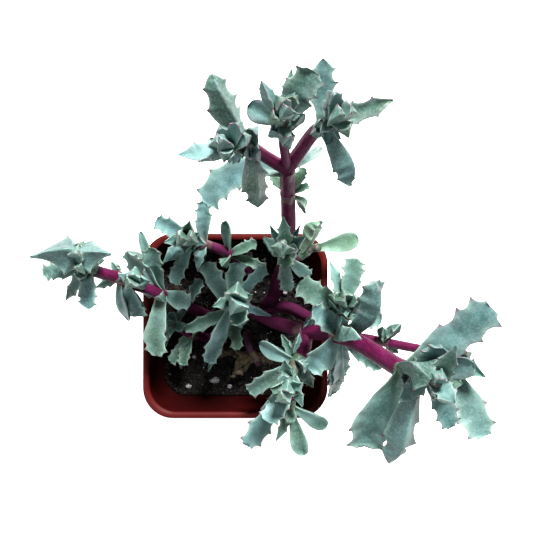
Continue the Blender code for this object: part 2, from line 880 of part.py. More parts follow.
def make_stems(parts):
    """Each network of stems as one solid."""
    fresh = plain_material("stem_skin", STEM_COLOUR, 0.45)
    old = plain_material("old_stem_skin", OLD_STEM_COLOUR, 0.7)
    for name, runs in STEMS.items():
        tubes = [tube(f"{name}_{i}", run, 0.0, parts) for i, run in enumerate(runs)]
        stem = joined(name, tubes)
        stem.data.materials.clear()
        stem.data.materials.append(old if name == "old_stem" else fresh)


def stem_at(point):
    """The direction and radius of the stem that passes nearest to a point."""
    point = Vector(point)
    best = None
    for runs in STEMS.values():
        for run in runs:
            line = smooth_line(run.points)
            for i, (a, b) in enumerate(zip(line, line[1:])):
                share = max(0.0, min(1.0, (point - a).dot(b - a) / (b - a).length_squared))
                away = (a + (b - a) * share - point).length
                if best is None or away < best[0]:
                    along = (i + share) / (len(line) - 1)
                    radius = run.radii[0] + (run.radii[1] - run.radii[0]) * along
                    best = (away, (b - a).normalized(), radius)
    return best[1], best[2]


def grow_leaf(name, foot, leaf, grows, collection):
    """A thick three-edged leaf, flat on the side that faces up the stem, with toothed edges."""
    foot, tip = Vector(foot), Vector(leaf.tip)
    reach = tip - foot
    length = reach.length
    axis = reach.normalized()
    faces = grows + Vector((0, 0, FACE_LIFT))
    up = faces - axis * faces.dot(axis)
    if up.length < IN_LINE:
        up = axis.orthogonal()
    up.normalize()
    bend = foot + axis * length * LEAF_BEND_AT + up * length * LEAF_RISE + Vector(leaf.bow)
    side = axis.cross(Matrix.Rotation(math.radians(leaf.roll), 3, axis) @ up)
    keel = KEEL_LEAST + KEEL_SHARE * leaf.width

    def spine(t):
        return foot * (1 - t) ** 2 + bend * 2 * t * (1 - t) + tip * t**2

    def face(t):
        along = (bend - foot) * 2 * (1 - t) + (tip - bend) * 2 * t
        return side.cross(along.normalized())

    rings = []
    for row in leaf.rows:
        half = row.width * leaf.width / 2
        left_at = row.along + LEFT_EDGE_LEAD * (row.along > 0)
        keel_at = row.along - KEEL_LAG * (row.along > 0)
        right = spine(row.along) + side * half
        left = spine(left_at) - side * half
        low = spine(keel_at) - face(keel_at) * keel * row.depth
        rings.append((right, left, low))
    return add_object(name, mesh_from_rings(name, rings, tip), collection)


def closing_leaves(last, bud, pairs):
    """The young leaves that close a head, each pair turned a quarter from the one below."""
    base, bud = Vector(last.at), Vector(bud)
    rise = bud - base
    axis = rise.normalized()
    spread = Vector(last.leaves[0].tip) - base
    spread = (spread - axis * spread.dot(axis)).normalized()
    for lean, share in CLOSING_PAIRS[len(CLOSING_PAIRS) - pairs:]:
        spread = axis.cross(spread)
        angle = math.radians(lean)
        for way in (1, -1):
            reach = axis * math.cos(angle) + spread * math.sin(angle) * way
            length = rise.length * share
            yield young(*(base + reach * length), length * CLOSING_WIDTH)


def make_cluster(name, cluster, parts):
    """A sheath or core with its leaves, as one solid."""
    pieces = []
    first, last = cluster.tiers[0], cluster.tiers[-1]
    direction, radius = stem_at(first.at)
    outer = radius + GAP + SHEATH_WALL
    low = Vector(first.at) - direction * SHEATH_HEIGHT / 2
    if cluster.bud is None:
        core = Run((outer, outer), (low, Vector(first.at) + direction * SHEATH_HEIGHT / 2))
    else:
        grows = (Vector(cluster.bud) - Vector(last.at)).normalized()
        top = Vector(last.at) + grows * CORE_PAST
        points = [low, *(tier.at for tier in cluster.tiers), top]
        core = Run((outer, max(CORE_LEAST, CORE_TAPER * outer)), points)
    pieces.append(tube(f"{name}_core", core, 0.0, parts, smooth=False))
    for i, tier in enumerate(cluster.tiers):
        if cluster.bud is None:
            grows = direction
        elif tier is last:
            grows = (Vector(cluster.bud) - Vector(tier.at)).normalized()
        else:
            grows = (Vector(cluster.tiers[i + 1].at) - Vector(tier.at)).normalized()
        for j, leaf in enumerate(tier.leaves):
            pieces.append(grow_leaf(f"{name}_{i}_{j}", tier.at, leaf, grows, parts))
    if cluster.bud is not None:
        grows = (Vector(cluster.bud) - Vector(last.at)).normalized()
        for k, leaf in enumerate(closing_leaves(last, cluster.bud, cluster.closing)):
            pieces.append(grow_leaf(f"{name}_bud_{k}", last.at, leaf, grows, parts))
    return joined(name, pieces)


def clear_of_stems(obj, cutters):
    """Cuts the room that the stems need, with a little clearance, out of a cluster of leaves."""
    low = [min(corner[axis] for corner in obj.bound_box) / MM for axis in range(3)]
    high = [max(corner[axis] for corner in obj.bound_box) / MM for axis in range(3)]
    room = []
    for name, runs in STEMS.items():
        for i, run in enumerate(runs):
            reach = max(run.radii) + GAP
            near = all(
                min(point[axis] for point in run.points) - reach < high[axis]
                and max(point[axis] for point in run.points) + reach > low[axis]
                for axis in range(3)
            )
            if near:
                room.append(tube(f"room_{name}_{i}", run, GAP, cutters))
    if room:
        cutter = joined("stem_room", room)
        apply_boolean(obj, "DIFFERENCE", other=cutter)
        remove_objects([cutter])
    keep_largest_body(obj)


def make_leaves(parts, cutters):
    fresh = plain_material("leaf_skin", LEAF_COLOUR, 0.55)
    dry = plain_material("withered_leaf", WITHERED_COLOUR, 0.85)
    for name, cluster in LEAVES.items():
        obj = make_cluster(name, cluster, parts)
        clear_of_stems(obj, cutters)
        obj.data.materials.clear()
        obj.data.materials.append(dry if name == "withered_leaves" else fresh)


def main():
    clear_scene()
    parts = new_collection("potted_ice_plant")
    cutters = new_collection("cutters")
    make_pot(parts, cutters)
    make_soil(parts, cutters)
    make_stems(parts)
    make_leaves(parts, cutters)


if __name__ == "__main__":
    main()
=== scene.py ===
"""Dresses the potted ice plant: fleshy toothed leaves, magenta stems, a nursery pot, soil and light.

Lengths and points are in millimetres and become metres in the meshes. The origin is the middle
of the pot's underside, +Z is up and +Y is the back of the pot.
"""

import math
import random
from collections import namedtuple

import bmesh
import bpy
import numpy as np
from mathutils import Matrix, Vector, noise


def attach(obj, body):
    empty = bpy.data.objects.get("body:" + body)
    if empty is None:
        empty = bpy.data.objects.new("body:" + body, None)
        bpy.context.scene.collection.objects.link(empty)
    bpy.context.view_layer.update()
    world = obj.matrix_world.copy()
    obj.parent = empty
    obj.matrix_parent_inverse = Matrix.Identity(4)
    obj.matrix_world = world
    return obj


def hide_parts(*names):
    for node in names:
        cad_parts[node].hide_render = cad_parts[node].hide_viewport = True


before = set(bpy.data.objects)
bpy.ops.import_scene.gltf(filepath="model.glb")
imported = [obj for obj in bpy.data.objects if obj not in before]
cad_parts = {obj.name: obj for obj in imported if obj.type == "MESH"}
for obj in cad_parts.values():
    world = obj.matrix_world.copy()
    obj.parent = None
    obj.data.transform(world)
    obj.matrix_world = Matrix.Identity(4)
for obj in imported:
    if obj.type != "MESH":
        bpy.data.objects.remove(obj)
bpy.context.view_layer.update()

MM = 0.001
UP = Vector((0, 0, 1))

# The pot, as its solid has it.
POT_RIM = 54.0
POT_BASE = 40.0
POT_HEIGHT = 52.0
POT_CORNER = 9.0
POT_BASE_CORNER = 6.8
POT_WALL = 1.1
POT_FLOOR = 1.4
LIP_DEPTH = 2.6
LIP_STEP = 0.7
STACKING_STEP = 10.0
DRAIN_RADIUS = 2.5
DRAIN_OFFSET = 11.0
DRAIN_DEPTH = 8.0
SHARP_DEGREES = 32
CORNER_STEPS = 14

# The soil, and what lies loose on it.
SOIL_TOP = 36.6
SOIL_BANK = 2.8
BANK_WIDTH = 7.0
SOIL_INSET = 0.15
SOIL_RINGS = 46
SOIL_SINK = 0.7
SIDE_STEPS = 6
GAP = 0.3
LOOSE_SEED = 8
CRUMBS = 1900
CRUMB_CORNER = 6.0
LARGEST_CRUMB = 1.5
FINE_CRUMB = 0.7
FIBRES = 110
FIBRE_POINTS = 4
FIBRE_SEED = 500
GRIT = 60

# Stems, and the sheaths in which leaves join round them: heights and how far each swells.
STEM_FOOT = 22.0
STEM_SIDES = 20
STEM_STEP = 0.7
CORE_SIDES = 12
SHEATH_SLIM = 0.2
SHEATH_PLUMP = 0.6
SHEATH_ROWS = (
    (-2.0, 0.02), (-1.5, 0.08), (-0.8, 0.22), (-0.1, 0.42), (0.45, 0.48), (0.8, 0.34), (0.95, 0.08),
)

# Leaves: stations along, and how deep, lifted and bent they are.
STATIONS = 34
KEEL_SHARE = 0.42
KEEL_LEAST = 1.3
FACE_LIFT = 0.8
LEAF_RISE = 0.12
LEAF_BEND_AT = 0.45
IN_LINE = 0.15

# The points of a leaf's cross section, as shares of the way from its middle to an edge. The upper
# ones come with how much of the pale margin, partly a painted highlight, each shows.
UPPER = {0.93: 0.7, 0.62: 0.32, 0.3: 0.12}
LOWER = (0.72, 0.46, 0.2)
BELOW_EDGE = 0.93
BESIDE_KEEL = 0.06
EDGE_ROUND = 0.20
SHALLOW = 0.8

# How much one leaf may differ from the next.
TWIST_DEGREES = 24
TWIST_FROM = 0.3
ROLLED_TWIST = 0.3
SWAY = 0.03
CHANNEL = 0.11
YOUNG_CHANNEL = 0.03
CHANNEL_RANGE = (0.3, 1.7)
CREASE_RANGE = (0.9, 1.9)
SWELL = 0.07
FLARE_BULGE = -0.12
BULGE_RANGE = (-0.06, 0.08)
RIPPLE_RANGE = (0.05, 0.16)
RIPPLE_WIDTH = 7.0
RIPPLE_HEIGHT = 0.3
RIPPLE_SHIFT = 1.7
RIPPLE_TURN = 7
TOOTH_SHIFT = 0.045
TOOTH_RANGE = (0.88, 1.08)
TOOTH_MISSING = 0.3
HOLLOW_RANGE = (0.14, 0.28)
KEEL_TOOTH_SPAN = (0.62, 0.93)
KEEL_TOOTH_RANGE = (0.3, 0.55)

# The spine on each tooth: its length as a share of the leaf's width and at least, how far it leans
# forward, and how red the edge is just before and after it.
SPINE_SHARE = 0.035
SPINE_LEAST = 0.14
SPINE_RANGE = (0.7, 1.2)
SPINE_LEAN = 0.6
RED_BEFORE = 0.50
RED_AFTER = 0.45

# Young leaves that close a head, in pairs: lean in degrees and share of the way to the bud.
CLOSING_PAIRS = ((24.0, 0.84), (4.5, 1.0))
CLOSING_WIDTH = 0.42

# Small leaves between the main pairs of a head, seen in the picture only: how far they lean from
# the stem in degrees, their length and their width, and the turns round the stem where they stand.
FILLING_LEAN = (38, 62)
FILLING_LENGTH = (3.2, 5.4)
FILLING_WIDTH = (0.50, 0.68)
FILLING_TURNS = (90, 205, 320)

# The seeds of a cluster's leaves: a start, a step from tier to tier and a step from leaf to leaf.
MAIN_SEEDS = (0, 101, 7)
FILLING_SEEDS = (0, 401, 11)
CLOSING_SEEDS = (977, 0, 13)

# Shifts that make three separate noises of one, and the size and reach of the bends of dry leaves.
SWAY_SHIFTS = ((0.0, 0.0, 0.0), (31.4, 7.9, 12.3), (5.7, 45.1, 23.8))
CRUMPLES = ((0.20, 2.4), (0.7, 1.3))

# Light, floor and camera, in metres. A light has a place, a power in watts, a size and a tint.
KEY_LIGHT = ((0.18, 0.58, 0.66), 26.0, 0.20, (1.0, 0.99, 0.97))
FILL_LIGHT = ((-0.45, -0.30, 0.80), 3.2, 0.50, (0.94, 0.98, 1.0))
LIT_POINT = (0, 0, 0.05)
SKY_TINT = (0.93, 0.97, 1.0)
SKY_STRENGTH = 0.20
FLOOR_REACH = 3.0
FLOOR_DROP = 0.0002
CAMERA_PLACE = (0.0091, 0.01735, 0.222)
CAMERA_LENS = 39.4
CAMERA_SENSOR = 36
CAMERA_NEAR = 0.01

# Nodes of stems that have small filling leaves too.
CROWDED = (
    "west_low_leaves", "west_middle_leaves", "centre_low_leaves", "centre_high_leaves",
    "right_node_leaves", "northwest_low_leaves", "southwest_low_leaves", "southwest_head",
)

# Clusters with younger, yellower leaves, and how much younger.
LUSH = {
    "back_small_leaves": 1.6, "middle_side_leaves": 1.5, "centre_low_leaves": 0.7,
    "northwest_low_leaves": 0.6, "front_low_leaves": 0.5, "right_upper_head": 0.4,
    "southwest_low_leaves": 0.4, "west_low_leaves": 0.3,
}

Run = namedtuple("Run", "radii points")
Tier = namedtuple("Tier", "at leaves")
Cluster = namedtuple("Cluster", "tiers bud closing")
Leaf = namedtuple("Leaf", "tip width kind bow roll")
Edge = namedtuple("Edge", "width wave forward tooth")
Form = namedtuple("Form", "stalk teeth end hollow keel")

# Each form of leaf: the smooth stalk, then the teeth, as places along it and shares of its half
# width, the width of the end, how hollow the edge is before the end, and the depth of the keel.
# A wedge widens to near its blunt end, a lance is widest past its middle and ends in a point, and
# a dart tapers to a long point. A wing has one broad tooth on each side and a long hollow point. A
# pad has a round end and no teeth, and a flare stays narrow and then widens at once. A young leaf
# is a short plump one of a head that is still closed.
FORMS = {
    "wedge": Form(
        ((0, 0.42), (0.20, 0.52), (0.40, 0.72)), ((0.57, 0.92), (0.75, 1.02), (0.94, 0.92)), 0.40, 0.10,
        ((0, 0.55), (0.36, 0.78), (0.60, 1.0), (0.80, 0.94), (0.92, 0.62), (1, 0.20)),
    ),
    "lance": Form(
        ((0, 0.40), (0.18, 0.48), (0.36, 0.68)), ((0.50, 0.92), (0.67, 1.06), (0.84, 0.80)), 0.10, -0.06,
        ((0, 0.55), (0.36, 0.85), (0.56, 1.0), (0.76, 0.84), (0.90, 0.45), (1, 0.08)),
    ),
    "dart": Form(
        ((0, 0.55), (0.20, 0.68)), ((0.42, 1.0), (0.67, 0.82)), 0.08, 0.03,
        ((0, 0.70), (0.30, 0.95), (0.55, 1.0), (0.76, 0.72), (0.92, 0.36), (1, 0.06)),
    ),
    "wing": Form(
        ((0, 0.50), (0.18, 0.66)), ((0.40, 1.06),), 0.08, 0.13,
        ((0, 0.70), (0.30, 0.95), (0.48, 1.0), (0.66, 0.72), (0.84, 0.42), (1, 0.06)),
    ),
    "pad": Form(
        ((0, 0.40), (0.25, 0.48), (0.50, 0.78), (0.74, 1.0), (0.90, 0.84), (0.97, 0.52)), (), 0.16, 0.0,
        ((0, 0.55), (0.36, 0.80), (0.60, 1.0), (0.82, 0.82), (0.94, 0.45), (1, 0.14)),
    ),
    "flare": Form(
        ((0, 0.36), (0.40, 0.38), (0.66, 0.56)), ((0.86, 1.0),), 0.30, 0.04,
        ((0, 0.50), (0.40, 0.52), (0.66, 0.68), (0.84, 0.80), (0.93, 0.52), (1, 0.14)),
    ),
    "young": Form(
        ((0, 0.60), (0.30, 0.84), (0.55, 0.98)), ((0.84, 1.0),), 0.42, 0.0,
        ((0, 0.80), (0.40, 1.0), (0.70, 1.08), (0.88, 0.98), (0.96, 0.62), (1, 0.30)),
    ),
}


def leaf_maker(kind):
    """A function that gives a leaf of one form, from its tip, width, bow and roll."""

    def make(x, y, z, width, bow=(0, 0, 0), roll=0):
        return Leaf((x, y, z), width, kind, bow, roll)

    return make


wedge, lance, dart, wing, pad, flare, young = (leaf_maker(kind) for kind in FORMS)


def tier(at, *leaves):
    return Tier(at, leaves)


def cluster(*tiers, bud=None, closing=0):
    return Cluster(tiers, bud, closing)


# Every stem network, as runs of points with a radius at each end.
STEMS = {
    "back_stem": (
        Run((2.1, 2.0), ((9, 5, STEM_FOOT), (9, 5, 40), (11, 8, 46))),
        Run((2.0, 1.8), ((11, 8, 46), (14, 15, 55), (15, 26, 66), (14.5, 35, 76), (14, 40, 86))),
        Run((1.5, 1.3), ((14, 40, 86), (9, 42, 91), (6, 43.5, 95))),
        Run((1.1, 1.0), ((14, 40, 86), (12.8, 43.5, 96), (12.4, 45.4, 101))),
        Run((1.6, 1.5), ((14, 40, 86), (19, 46, 95), (20.6, 46.8, 98))),
        Run((1.6, 1.4), ((11, 8, 46), (12, 13, 56), (13.4, 18, 64), (13.6, 19.5, 68))),
        Run((1.2, 1.0), ((12, 13, 56), (16, 18, 59), (18, 20, 60))),
        Run((1.8, 1.5), ((9, 5, 41), (16, 5, 48), (22, 2.5, 55), (26.5, 2, 62), (30, 4.5, 68))),
    ),
    "centre_stem": (
        Run((2.0, 1.9), ((0, 4, STEM_FOOT), (0, 4, 41))),
        Run((1.7, 1.5), ((0, 4, 39), (-1, 5.5, 52), (0, 7, 59))),
        Run((1.8, 1.9), ((0, 4, 40), (4, 4.5, 46), (10, 2, 54), (18, 0, 62))),
        Run((1.9, 2.2), ((18, 0, 62), (28, -0.5, 72), (32, -1.5, 78), (39, -5.5, 88), (41, -6, 91))),
        Run((1.2, 1.1), ((28, -0.5, 72), (34, -1, 72), (40, -2, 74), (47, -3, 78), (50, -3.5, 79))),
        Run((1.7, 1.6), ((20, -0.3, 64), (19.3, -5, 65.5), (17.5, -8, 66.5))),
        Run((1.2, 1.1), ((18.6, -7, 65.5), (17, -15, 61), (15.8, -21.5, 60))),
    ),
    "west_stem": (
        Run((1.7, 1.6), ((-7, 1, STEM_FOOT), (-7, 1, 40))),
        Run((1.6, 1.6), ((-7, 1, 39), (-13, 5, 49), (-20, 9.5, 60), (-27, 13, 66))),
        Run((1.6, 1.5), ((-27, 13, 66), (-30, 14.5, 69), (-34, 16, 73), (-35.7, 17, 75.5))),
    ),
    "northwest_stem": (
        Run((1.6, 1.5), ((3, 16, STEM_FOOT), (3, 16, 40))),
        Run((1.5, 1.4), ((3, 16, 39), (-1.5, 21, 50), (-10, 24, 58), (-11.5, 24.5, 62))),
    ),
    "southwest_stem": (
        Run((1.5, 1.4), ((-10, -5, STEM_FOOT), (-10, -5, 40))),
        Run((1.4, 1.3), ((-10, -5, 39), (-14, -3, 46), (-18, 0, 49.5))),
    ),
    "old_stem": (
        Run((1.4, 1.3), ((3, -4, STEM_FOOT), (3, -4, 40))),
        Run((1.3, 1.1), ((3, -4, 39), (4.2, -8, 42.5), (7, -13, 41.5))),
    ),
}

# Every cluster of leaves: its tiers from the lowest up, each a point on the stem and the leaves
# there, then the point of its bud and how many pairs of young leaves close it.
LEAVES = {
    "back_main_leaves": cluster(
        tier(
            (14, 39.6, 85), wedge(-6, 32.6, 79, 8, bow=(-2.5, 6.5, 0), roll=-12),
            pad(22.2, 45.6, 84, 2.6),
        ),
    ),
    "back_small_leaves": cluster(
        tier(
            (14.4, 35.2, 76.4), wedge(10.2, 39.4, 80, 2.6), wedge(18.5, 41.3, 80, 2.8),
            pad(19.1, 31.5, 70, 3, bow=(3.5, 0.5, 1)), wedge(19.6, 37.6, 77, 2.6),
        ),
    ),
    "back_left_head": cluster(
        tier(
            (5.9, 43.5, 95), lance(-1.9, 55.7, 106, 6.2, bow=(-3, 0, 0), roll=-152),
            lance(7.2, 30.6, 92, 6.2, roll=155),
        ),
        tier((4.4, 42.7, 98), dart(1.7, 39.6, 95, 2.6), dart(6, 40, 98, 2.6)),
        tier((1.9, 42.3, 101), dart(-9.3, 40.4, 102, 5.2, roll=32), young(3.3, 45, 108, 3.4)),
        bud=(-0.2, 42.2, 108), closing=2,
    ),
    "back_centre_head": cluster(
        tier(
            (12.6, 45.5, 100.9), dart(10, 44.4, 106, 3.2), dart(16.6, 47.2, 108, 3.4),
            dart(14.1, 42, 99, 3.2),
        ),
        tier((12.5, 46, 102.9), pad(5.4, 49, 107, 4.6, roll=-34), wedge(17.8, 54.6, 111, 7.2, roll=16)),
        tier((12.5, 47, 105.9), dart(8.1, 52.2, 113, 3.2, roll=30), dart(13.9, 55.6, 109, 3.6)),
        bud=(12.6, 47.6, 113.5), closing=2,
    ),
    "back_right_head": cluster(
        tier(
            (20.7, 46.8, 98), lance(20.5, 59.4, 104, 5.8, roll=-12),
            lance(27.1, 34.8, 96, 5.8, bow=(1, -1, 0), roll=165),
        ),
        tier((21.6, 46.8, 99.5), dart(25, 44.4, 98, 2.6), dart(21.6, 42.6, 101, 2.6)),
        tier((22.6, 47.3, 102), dart(35.3, 51.7, 102, 5, roll=20), young(22.2, 50.2, 111, 3.2)),
        bud=(24.4, 47, 111), closing=2,
    ),
    "middle_head": cluster(
        tier(
            (13.6, 19.5, 68.1), wedge(14.9, 10.8, 66, 4.6, roll=20), wedge(20.6, 14.8, 69, 3.6),
            dart(10, 27.7, 76, 3.2), dart(17.5, 27.6, 76, 3.2),
        ),
        tier((13.6, 20.5, 73.1), dart(8.4, 24.4, 82, 3.8), dart(18.4, 24.6, 82, 3.8)),
        tier((13.6, 21.3, 77.1), wedge(14.1, 17.2, 80, 4.6), dart(13.1, 29.3, 82, 4)),
        bud=(13.3, 22, 87), closing=1,
    ),
    "middle_side_leaves": cluster(
        tier((19.6, 21, 60.4), wedge(23.8, 29.4, 65, 6.6, roll=24)),
        tier((22, 22.4, 61), pad(34.4, 25, 62, 5.4)),
        bud=(27, 22, 66),
    ),
    "right_upper_head": cluster(
        tier((29.8, 4.6, 68.2), wedge(17.2, 12.8, 74, 6.8, roll=-16), wedge(38, 4, 75, 5.6, roll=18)),
        tier((29.6, 6.6, 73.2), dart(32.6, 9.8, 83, 3.8), dart(24.4, 9.6, 80, 3.4)),
        tier((28.8, 8.6, 77.2), wedge(30.4, 19.4, 81, 5.6, roll=-10), dart(24.8, 18.6, 77, 3.8)),
        bud=(27.6, 10, 85), closing=2,
    ),
    "right_node_leaves": cluster(
        tier(
            (27.7, 0.1, 72.7), wedge(20.2, -9.8, 71, 7.2), wedge(28.9, -14.6, 61, 5.8),
            wedge(28.2, -19.4, 55.5, 5), wedge(34.4, 14.2, 85, 6.8, bow=(2.6, -0.5, 0), roll=-160),
            wedge(20.8, 7.2, 79, 6.2), lance(39.6, -9.6, 68, 4, bow=(-1, -2.5, -2)),
            dart(31.9, 0.4, 84, 4.6, bow=(-2, 1.5, 4)), dart(27.4, 5.2, 82, 3.6),
        ),
    ),
    "right_head": cluster(
        tier(
            (40.7, -6.1, 90.4), wedge(32.3, -25.7, 85, 10.2, bow=(-4, 0, 0)), wedge(57.4, 8.6, 97, 10.4),
            flare(42.4, -5.6, 104, 9.2, bow=(-3.2, 2.6, 1.5), roll=-10),
        ),
        tier(
            (42.3, -6.3, 93.4), lance(37.5, -28, 87, 7.4, roll=-168),
            wedge(45, 0.2, 102.8, 6.4, roll=-24),
        ),
        tier(
            (43.7, -6.7, 96.4), wedge(49.6, -17.6, 94.8, 5, roll=20), pad(51.2, -2.4, 103.3, 5.4),
            dart(37.4, -11.6, 97, 5),
        ),
        tier(
            (44.7, -6.9, 98.9), dart(46.4, 1.6, 107, 5), dart(46.8, -9.9, 105, 5.4),
            dart(49.8, -6.8, 101.2, 5.5),
        ),
        bud=(43.9, -5, 105), closing=1,
    ),
    "far_right_head": cluster(
        tier((50.5, -3.6, 79.7), wedge(60.3, -22.2, 86, 8, roll=10), dart(56, 4.6, 84, 4)),
        tier((51.5, -3.8, 83.2), dart(58.6, -7.6, 90, 6), dart(52, -12, 89, 4.4)),
        bud=(53.6, -3.6, 92), closing=1,
    ),
    "branch_leaves": cluster(
        tier((39, -1.8, 74), dart(42.2, 3.2, 79, 3), dart(37.6, 2.6, 79, 2.6), dart(43, -5, 72, 2.6)),
    ),
    "fork_leaves": cluster(
        tier(
            (18.8, -0.1, 62.9), dart(16.2, -5.8, 67, 2, bow=(0, 0, 2.5)),
            dart(21.5, 4.3, 67, 2, bow=(0, 0, 2.5)),
        ),
    ),
    "centre_low_leaves": cluster(
        tier(
            (-0.4, 4.5, 46), dart(-8.6, -14.6, 46, 4.4), wedge(-14.2, -1.4, 54, 4.6, roll=-14),
            wedge(0.4, -7.2, 51, 4.4),
        ),
    ),
    "centre_high_leaves": cluster(
        tier((-1.2, 5.6, 53), wedge(-7.6, -10, 57, 5.2, roll=10), wedge(-7.3, 18.2, 64, 6.2, roll=-14)),
    ),
    "centre_head": cluster(
        tier(
            (-0.3, 7.1, 59.1), wedge(8.6, 17.2, 66, 4.2), wedge(1.2, 18.4, 61, 5.6),
            dart(10.6, 3.6, 61, 3),
        ),
        tier((0.5, 8.1, 64.1), wedge(2.5, 3, 77, 5), dart(1.6, 13, 78, 3.8)),
        tier((0.9, 8.7, 68.1), dart(-4.2, 7.5, 78, 3.8), dart(5.3, 10.5, 79, 3.6)),
        bud=(2, 9.6, 82), closing=1,
    ),
    "front_head": cluster(
        tier(
            (17.2, -8.1, 66.8), wedge(4, -17.6, 60, 5.4), pad(7.2, -3.8, 63, 5), dart(13.2, -1.2, 62, 3.4),
            dart(21.8, -16, 62, 4.6),
        ),
        tier((15.7, -10.6, 69.3), wedge(4, -30, 68, 6.2, roll=-12), dart(18.6, -19.4, 69, 3.8)),
        tier((14.7, -12.4, 72.3), wedge(9.3, -20.9, 78, 6.2, roll=8), dart(13.6, -6, 78, 4.4)),
        tier((14.1, -13.3, 75.3), dart(10, -12, 81, 3.8), dart(17.6, -11, 81, 3.8)),
        bud=(13.6, -12.8, 85), closing=1,
    ),
    "front_low_leaves": cluster(
        tier(
            (15.8, -21.5, 60), pad(19.3, -36, 58, 5), pad(26.2, -27.8, 58, 4.8),
            dart(11.7, -31.1, 60, 3.4),
        ),
        bud=(15.6, -25, 64), closing=1,
    ),
    "west_low_leaves": cluster(
        tier(
            (-20, 9.7, 59.6), wedge(-28, 21.3, 67, 6.4, roll=-22), wedge(-21, 22, 69, 6.6, roll=24),
            wedge(-21, -7.2, 62, 8.7, roll=10), wedge(-11.6, 7.4, 62.4, 5.4), pad(-26.3, 27.2, 59, 3.4),
        ),
    ),
    "west_bud": cluster(
        tier((-24.4, 13.4, 70), dart(-27.4, 15.4, 78, 3.4), dart(-20.8, 14, 78, 3.4)),
        bud=(-24, 14.4, 79), closing=1,
    ),
    "west_middle_leaves": cluster(
        tier(
            (-29.5, 14.4, 68.8), wedge(-25.2, 3.8, 65.5, 6, bow=(2.3, -1.5, -2)), pad(-29, 2.4, 62.4, 4.3),
            dart(-36.6, 11.7, 66, 3),
        ),
    ),
    "west_head": cluster(
        tier(
            (-35.7, 17.2, 75.7), wedge(-47.4, 15.6, 75, 4.6), lance(-35.6, 6.6, 76, 5.8, roll=14),
            dart(-42.6, 8.6, 72, 4),
        ),
        tier(
            (-36.3, 18.5, 79.2), wing(-46, 19.4, 86, 9.6, bow=(1, 2.2, 0), roll=-172),
            wing(-27.2, 20.2, 85, 8.2, bow=(0, 2.2, 0), roll=172),
        ),
        bud=(-34.6, 20.4, 87), closing=2,
    ),
    "northwest_low_leaves": cluster(
        tier(
            (-2, 20.8, 50), pad(-2.2, 30, 60, 3.4), wedge(6, 24.2, 58, 4), dart(-3.6, 17.5, 57, 3.6),
            wedge(9, 16.6, 55, 3.4),
        ),
    ),
    "northwest_high_leaves": cluster(
        tier((-8.5, 23.6, 56.9), wedge(-8, 35.2, 62, 5.2, roll=16), dart(-10, 16, 60, 4)),
    ),
    "northwest_head": cluster(
        tier(
            (-11.5, 24.5, 62), wedge(-20.6, 29.6, 66, 5.2, roll=-16), wedge(-16.8, 12.6, 61, 4.8, roll=12),
            dart(-19.3, 18.5, 62, 4.4),
        ),
        tier((-11.7, 24.8, 66), dart(-6.7, 23, 72, 4), dart(-17.4, 23.6, 71, 4.6)),
        tier((-11.4, 24.8, 70), dart(-10, 28.3, 78, 4), dart(-11.3, 20.8, 77, 4)),
        bud=(-10.6, 24.4, 80), closing=1,
    ),
    "southwest_low_leaves": cluster(
        tier((-13.6, -3.3, 45.6), wedge(-16, -12, 49, 4.8), wedge(-20, -11.5, 46, 4.8)),
    ),
    "southwest_head": cluster(
        tier((-18, 0, 49.5), dart(-24, -6, 51, 4.4), wedge(-10.6, 13.4, 45, 4.4, bow=(0, 0, -4))),
        bud=(-20, 2, 55), closing=1,
    ),
    "withered_leaves": cluster(
        tier((5.7, -10.6, 42.5), wedge(-7, -9, 42, 4), dart(12.5, -11.5, 42, 3.5), dart(-3, -17, 41, 3.6)),
    ),
}

# Places and sizes of the larger bits of perlite on the soil.
PERLITE = (
    (3.9, 20.7, 1.7), (-13.8, -11.3, 0.8), (-18.0, -14.5, 0.7), (-21.4, -16.5, 0.6),
    (-15.4, -20.4, 0.9), (-7.2, -18.6, 1.2), (-2.5, -20.4, 0.9), (15.0, 9.3, 1.3),
    (21.6, 15.6, 1.0), (-6.4, 9.2, 1.1), (8.5, 19.6, 0.7),
)

# Colours.
LEAF_BLUE = (0.035, 0.098, 0.122)
LEAF_GREEN = (0.022, 0.063, 0.034)
LEAF_BLOOM = (0.160, 0.310, 0.318)
LEAF_DEEP = (0.009, 0.031, 0.020)
LEAF_FRESH = (0.108, 0.212, 0.104)
# Olive towards the leaf bases: partly the leaves' own colour, partly painted shade where they crowd.
LEAF_BASE_OLIVE_AND_SHADE = (0.070, 0.110, 0.034)
LEAF_SPECK = (0.240, 0.350, 0.330)
# Pale margins and keel ridges: partly the leaves' own colour, partly a painted highlight.
LEAF_EDGE_AND_HIGHLIGHT = (0.420, 0.600, 0.520)
LEAF_ROSE = (0.250, 0.140, 0.240)
LEAF_TOOTH = (0.090, 0.004, 0.026)
STEM_MAIN = (0.096, 0.0035, 0.042)
STEM_DARK = (0.040, 0.002, 0.014)
STEM_LIGHT = (0.160, 0.013, 0.084)
STEM_FILM = (0.130, 0.032, 0.084)
STEM_AGED = (0.062, 0.018, 0.044)
OLD_MAIN = (0.060, 0.026, 0.038)
OLD_DARK = (0.020, 0.010, 0.013)
OLD_LIGHT = (0.110, 0.070, 0.080)
OLD_FILM = (0.120, 0.095, 0.100)
POT_RED = (0.060, 0.0018, 0.0020)
POT_RED_DARK = (0.030, 0.0011, 0.0012)
POT_SCUFF = (0.120, 0.014, 0.014)
# A painted highlight on the pot's rolled lip.
POT_LIP_HIGHLIGHT = (0.075, 0.007, 0.006)
